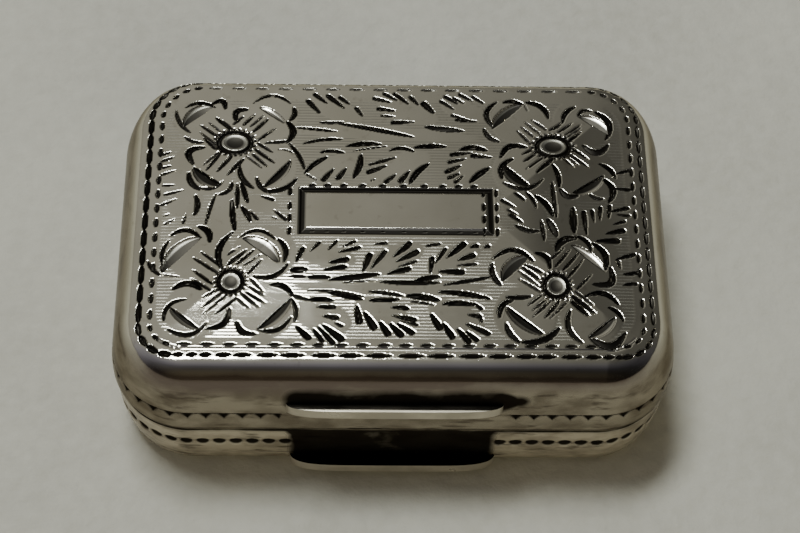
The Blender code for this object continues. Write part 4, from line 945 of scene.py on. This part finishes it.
def sponge_mesh():
    """The sponge: a full pad with rounded edges, pitted all over, with a low crown on top."""
    side_gap, end_gap, radius, rings, columns = 0.12, 0.1, 0.9, 46, 260
    power_x, power_y = 0.36, 0.5
    underside_end, wall_end, middle_share, growth, round_from = 0.4, 0.6, 0.06, 2.35, 0.9
    pit_noises, pit_depth, pit_limit, wall_dent = ((7, 1.1, 1.0), (9, 2.7, 0.6)), 0.35, 0.8, 0.5
    crown, crown_drop = 0.3, 0.25
    half_x, half_y = SPONGE_HIGH.x - side_gap, SPONGE_HIGH.y - side_gap
    low, high = SPONGE_LOW.z + end_gap, SPONGE_HIGH.z - end_gap
    turns = np.linspace(0, 2 * math.pi, columns, endpoint=False)
    ring_x = np.sign(np.cos(turns)) * np.abs(np.cos(turns)) ** power_x
    ring_y = np.sign(np.sin(turns)) * np.abs(np.sin(turns)) ** power_y
    points = []
    for step in np.linspace(0, 1, rings):
        share = min(middle_share + growth * min(step, 1 - step), 1.0)
        edge = radius * rise(share, round_from, 1 - round_from) ** 2
        height = low + (high - low) * rise(step, underside_end, wall_end - underside_end)
        height = min(max(height, low + edge), high - edge)
        above = step > 0.5
        lift = crown * (1 - share ** 2) - crown_drop if above else 0
        for x, y in zip(half_x * share * ring_x, half_y * share * ring_y):
            pit = sum(part * noise.noise(Vector((x, y, drift * step)) * scale)
                      for drift, scale, part in pit_noises)
            dent = pit_depth * min(max(pit, 0), pit_limit)
            inward = 1 - wall_dent * dent / half_y
            points.append((x * inward, y * inward, height + lift + (-dent if above else dent)))
    points = np.array(points)
    points[:, 2] = np.clip(points[:, 2], low, high)
    loops = ring_loops(0, columns, rings)
    return make_mesh("sponge_pad", points, np.vstack(ring_quads(loops, False)), [loops[0][::-1], loops[-1]])


class Nodes:
    """Short calls for building the node tree of a material or of the room."""

    def __init__(self, owner, surface="Principled BSDF"):
        owner.use_nodes = True
        self.owner, self.tree = owner, owner.node_tree
        self.surface = self.tree.nodes[surface]

    def feed(self, socket, value):
        """Link an output to a socket, or set the socket to a number, a vector or a colour."""
        if isinstance(value, bpy.types.NodeSocket):
            self.tree.links.new(value, socket)
        elif socket.type == 'RGBA' and len(value) == 3:
            socket.default_value = (*value, 1)
        else:
            socket.default_value = value

    def add(self, kind, inputs=None, **settings):
        """A node with its settings and its inputs."""
        node = self.tree.nodes.new(kind)
        for key, value in settings.items():
            setattr(node, key, value)
        for key, value in (inputs or {}).items():
            self.feed(node.inputs[key], value)
        return node

    def put(self, name, value):
        """Feed an input of the surface."""
        self.feed(self.surface.inputs[name], value)

    def noise(self, scale, detail=4.0, stretch=(1, 1, 1)):
        place = self.add("ShaderNodeTexCoord").outputs["Object"]
        mapping = self.add("ShaderNodeMapping", {"Scale": stretch, "Vector": place}).outputs["Vector"]
        texture = self.add("ShaderNodeTexNoise", {"Scale": scale, "Detail": detail, "Vector": mapping})
        return texture.outputs["Fac"]

    def ramp(self, value, low, high, start=0, end=1):
        """start up to the value low, end from the value high on."""
        inputs = {"Value": value, "From Min": low, "From Max": high, "To Min": start, "To Max": end}
        return self.add("ShaderNodeMapRange", inputs).outputs["Result"]

    def mix(self, share, first, second):
        inputs = {"Factor": share, "A": first, "B": second}
        return self.add("ShaderNodeMix", inputs, data_type='RGBA').outputs["Result"]

    def math(self, operation, first, second):
        return self.add("ShaderNodeMath", {0: first, 1: second}, operation=operation).outputs["Value"]

    def attribute(self, name):
        return self.add("ShaderNodeAttribute", attribute_name=name).outputs["Fac"]

    def bump(self, height, distance, strength=1.0):
        inputs = {"Distance": distance, "Strength": strength, "Height": height}
        self.put("Normal", self.add("ShaderNodeBump", inputs).outputs["Normal"])


def outer_silver():
    """Worn sterling: warm grey metal, duller on the sides, with dark tarnish in every cut, and painted shade and
    painted light on its walls and shoulder.
    """
    nodes = Nodes(bpy.data.materials.new("outer_silver"))
    side, band, dull, darkening = (nodes.attribute(name) for name in ("side", "band", "dull", "grime"))
    plate = nodes.mix(nodes.ramp(nodes.noise(160, 5), 0.35, 0.7), *PLATE)
    mottle = nodes.ramp(nodes.noise(700, 9, (0.6, 0.6, 1.0)), 0.4, 0.62)
    # Wall colours: darker than the plate as tarnish and painted shade, lighter towards the base as painted light
    wall = nodes.mix(mottle, nodes.mix(dull, *LIGHT_WALL), nodes.mix(dull, *DARK_WALL))
    streaks = nodes.ramp(nodes.noise(2600, 9, (0.2, 0.2, 0.8)), 0.56, 0.68, 0, 0.7)
    clean = nodes.mix(side, plate, nodes.mix(streaks, wall, STREAK))
    aged = nodes.mix(nodes.ramp(nodes.noise(1500, 3), 0.62, 0.8, 0, 0.35), clean, SPECK)
    blotch = nodes.math('MULTIPLY', nodes.math('SUBTRACT', nodes.noise(420, 5), 0.5), 1.2)
    banded, blotched_shade_and_grime = (nodes.math('ADD', area, nodes.math('MULTIPLY', blotch, area))
                       for area in (band, darkening))
    # Painted shade band along the lid's front shoulder
    shaded = nodes.mix(nodes.ramp(banded, 0.1, 0.9), aged, SHADED_BAND)
    # Painted shade behind the thumbpieces and at the seam, mixed with stains and grime
    grime = nodes.ramp(blotched_shade_and_grime, 0.25, 0.85, 0, 0.97)
    # Tarnish in the cuts, and painted shade spread beside them
    tarnish_and_shade = nodes.ramp(nodes.attribute("cut"), 0.04, 0.6, 0, 0.965)
    nodes.put("Base Color", nodes.mix(tarnish_and_shade, nodes.mix(grime, shaded, SHADE_AND_GRIME), TARNISH_AND_SHADE))
    nodes.put("Specular Tint", REFLECTION)
    dark = nodes.math('MAXIMUM', tarnish_and_shade, grime)
    dull_share = nodes.math('MULTIPLY', dull, nodes.math('SUBTRACT', 1.0, dark))
    nodes.put("Metallic", nodes.ramp(dull_share, 0, 1, 1.0, 0.35))
    rougher = nodes.math('ADD', nodes.math('MULTIPLY', dark, 0.35), nodes.math('MULTIPLY', side, 0.14))
    nodes.put("Roughness", nodes.math('ADD', nodes.ramp(nodes.noise(420, 6), 0.3, 0.75, 0.05, 0.1), rougher))
    scratches = nodes.math('ADD', nodes.noise(900, 4, (0.25, 3.0, 1.0)), nodes.noise(260, 3))
    nodes.bump(nodes.math('MULTIPLY', scratches, nodes.ramp(side, 0, 1, 0.4, 1.0)), 0.00003, 0.3)
    return nodes.owner


def lip_silver(name, front):
    """A thumbpiece: rubbed metal, with painted shade on its flat top from just behind a place in metres, and a
    painted highlight in front of it.
    """
    nodes = Nodes(bpy.data.materials.new(name))
    blotch = nodes.noise(500, 5)
    place = nodes.add("ShaderNodeTexCoord").outputs
    upward = nodes.add("ShaderNodeSeparateXYZ", {"Vector": place["Normal"]}).outputs["Z"]
    behind = nodes.add("ShaderNodeSeparateXYZ", {"Vector": place["Object"]}).outputs["Y"]
    edge = 0.0001
    # Painted shade on the flat top, held back from the front edge to leave a painted highlight there
    thick = nodes.ramp(behind, front + edge, front + 2 * edge)
    dark = nodes.math('MULTIPLY', nodes.ramp(upward, 0.86, 0.97, 0, 0.985), thick)
    nodes.put("Base Color", nodes.mix(dark, nodes.mix(nodes.ramp(blotch, 0.35, 0.65), *LIP), LIP_PAINTED_SHADE))
    nodes.put("Metallic", nodes.ramp(dark, 0, 1, 0.6, 1.0))
    smoother = nodes.math('MULTIPLY', dark, 0.12)
    nodes.put("Roughness", nodes.math('SUBTRACT', nodes.ramp(blotch, 0.3, 0.7, 0.26, 0.36), smoother))
    nodes.bump(nodes.noise(1100, 4, (0.25, 3.0, 1.0)), 0.00002, 0.3)
    return nodes.owner


def inner_gilt():
    """Gilding of the inside, worn thin in places."""
    nodes = Nodes(bpy.data.materials.new("inner_gilt"))
    nodes.put("Base Color", nodes.mix(nodes.ramp(nodes.noise(220, 5), 0.5, 0.75, 0, 0.7), *GILT))
    nodes.put("Metallic", 1.0)
    nodes.put("Roughness", nodes.ramp(nodes.noise(600, 5), 0.3, 0.75, 0.22, 0.42))
    nodes.bump(nodes.noise(1200, 4), 0.00002, 0.3)
    return nodes.owner


def wire_silver():
    """Drawn wire of the hinge pins."""
    nodes = Nodes(bpy.data.materials.new("wire_silver"))
    nodes.put("Base Color", nodes.mix(nodes.noise(900, 4), *WIRE))
    nodes.put("Metallic", 1.0)
    nodes.put("Roughness", nodes.ramp(nodes.noise(700, 4), 0.3, 0.7, 0.28, 0.5))
    nodes.bump(nodes.noise(1500, 3, (0.2, 2.0, 2.0)), 0.00002, 0.4)
    return nodes.owner


def sponge_stuff():
    """Dry natural sponge: pale brown, darker in its pores as painted shade."""
    nodes = Nodes(bpy.data.materials.new("sponge_stuff"))
    pores = nodes.ramp(nodes.noise(1000, 8), 0.4, 0.56)
    nodes.put("Base Color", nodes.mix(pores, *SPONGE))
    nodes.put("Roughness", 0.95)
    nodes.bump(pores, 0.0003, 1.0)
    return nodes.owner


def floor_stuff():
    """Plain pale ground with a faint grain."""
    nodes = Nodes(bpy.data.materials.new("floor_stuff"))
    grain = nodes.math('MULTIPLY', nodes.ramp(nodes.noise(900, 6), 0.3, 0.7), 0.4)
    cloud = nodes.ramp(nodes.noise(60, 4), 0.3, 0.7)
    nodes.put("Base Color", nodes.mix(grain, nodes.mix(cloud, *FLOOR), FLOOR_GRAIN))
    nodes.put("Roughness", 0.9)
    nodes.bump(nodes.noise(700, 8), 0.0003, 0.8)
    return nodes.owner


def area_light(name, place, aim, size, power, colour):
    """A soft rectangular light aimed at a point. Places and sizes are in metres."""
    lamp = bpy.data.lights.new(name, 'AREA')
    lamp.shape = 'RECTANGLE'
    lamp.size, lamp.size_y = size
    lamp.energy = power
    lamp.color = colour
    item = add_object(name, lamp)
    item.location = place
    item.rotation_euler = (Vector(aim) - Vector(place)).to_track_quat('-Z', 'Y').to_euler()
    return item


def add_floor(material):
    """The pale ground that the box stands on."""
    half = 600.0
    points = np.array([[-half, -half, 0], [half, -half, 0], [half, half, 0], [-half, half, 0]])
    floor = add_piece("floor", make_mesh("floor", points, np.array([[0, 1, 2, 3]])), [material])


def add_camera():
    """Camera at the photograph's viewing angle, from its place, its aim and its roll."""
    forward = Vector(CAMERA_FORWARD).normalized()
    right = forward.cross(Vector(CAMERA_UP)).normalized()
    lens = bpy.data.cameras.new("camera")
    lens.sensor_width = SENSOR
    lens.sensor_fit = 'HORIZONTAL'
    lens.lens = SENSOR * FOCAL_PIXELS / PHOTO_WIDTH
    lens.clip_start = 0.005
    camera = add_object("camera", lens)
    turn = Matrix((right, right.cross(forward), -forward)).transposed().to_4x4()
    camera.matrix_world = Matrix.Translation(Vector(CAMERA_PLACE) * MM) @ turn
    bpy.context.scene.camera = camera


def add_room():
    """Room light that changes from front to back by ROOM_STOPS and falls off to the right."""
    world = bpy.data.worlds.new("room")
    nodes = Nodes(world, "Background")
    place = nodes.add("ShaderNodeTexCoord").outputs["Generated"]
    parts = nodes.add("ShaderNodeSeparateXYZ", {"Vector": place}).outputs
    colours = nodes.add("ShaderNodeValToRGB", {"Fac": nodes.ramp(parts["Y"], -1, 1)})
    band = colours.color_ramp
    for element, stop in zip(band.elements, (ROOM_STOPS[0], ROOM_STOPS[-1])):
        element.position, element.color = stop
    for position, colour in ROOM_STOPS[1:-1]:
        band.elements.new(position).color = colour
    nodes.put("Color", nodes.mix(nodes.ramp(parts["X"], *ROOM_FALL), (0, 0, 0), colours.outputs["Color"]))
    nodes.put("Strength", 0.26)
    bpy.context.scene.world = world


def add_light():
    """One soft light high up behind the left, and a weak fill in front that reflections don't see."""
    add_room()
    area_light("key", (-0.08, 0.09, 0.44), (0, 0, 0.01), (0.17, 0.08), 1.48, (0.955, 1.0, 0.965))
    fill = area_light("fill", (0.06, -0.5, 0.33), (0, 0, 0.005), (0.5, 0.35), 0.56, (1.0, 0.90, 0.56))
    fill.visible_glossy = False


add_camera()
add_light()
add_floor(floor_stuff())

OUTER_SILVER = outer_silver()
INNER_GILT = inner_gilt()
WIRE_SILVER = wire_silver()
OUTLINE = Outline()

lid = add_piece("lid_engraved", lid_mesh(OUTLINE), [OUTER_SILVER, INNER_GILT])
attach(lid, "lid")
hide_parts("lid_shell")

base = add_piece("base_dressed", base_mesh(OUTLINE), [OUTER_SILVER, INNER_GILT])
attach(base, "base")
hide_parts("base_shell")

pad = add_piece("sponge_pad", sponge_mesh(), [sponge_stuff()])
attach(pad, "base")
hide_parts("sponge")

# The lid's lip keeps a light strip at its front edge as a painted highlight, and the base's painted shade runs
# right to the edge
LIP_MATERIALS = {
    "lid_thumbpiece": lip_silver("lid_lip_silver", LID_LIP_LOW.y * MM),
    "base_thumbpiece": lip_silver("base_lip_silver", BASE_LIP_LOW.y * MM - MM),
}
SLOT_MATERIALS = {"silver": OUTER_SILVER, "gilt": INNER_GILT, "pin_silver": WIRE_SILVER}
for subpart in frame["record"]["subparts"]:
    node = frame["nodes"][subpart["node"]]
    if subpart["node"] in LIP_MATERIALS:
        node.data.materials.clear()
        node.data.materials.append(LIP_MATERIALS[subpart["node"]])
    elif subpart["material_slot"] in SLOT_MATERIALS:
        node.data.materials.clear()
        node.data.materials.append(SLOT_MATERIALS[subpart["material_slot"]])
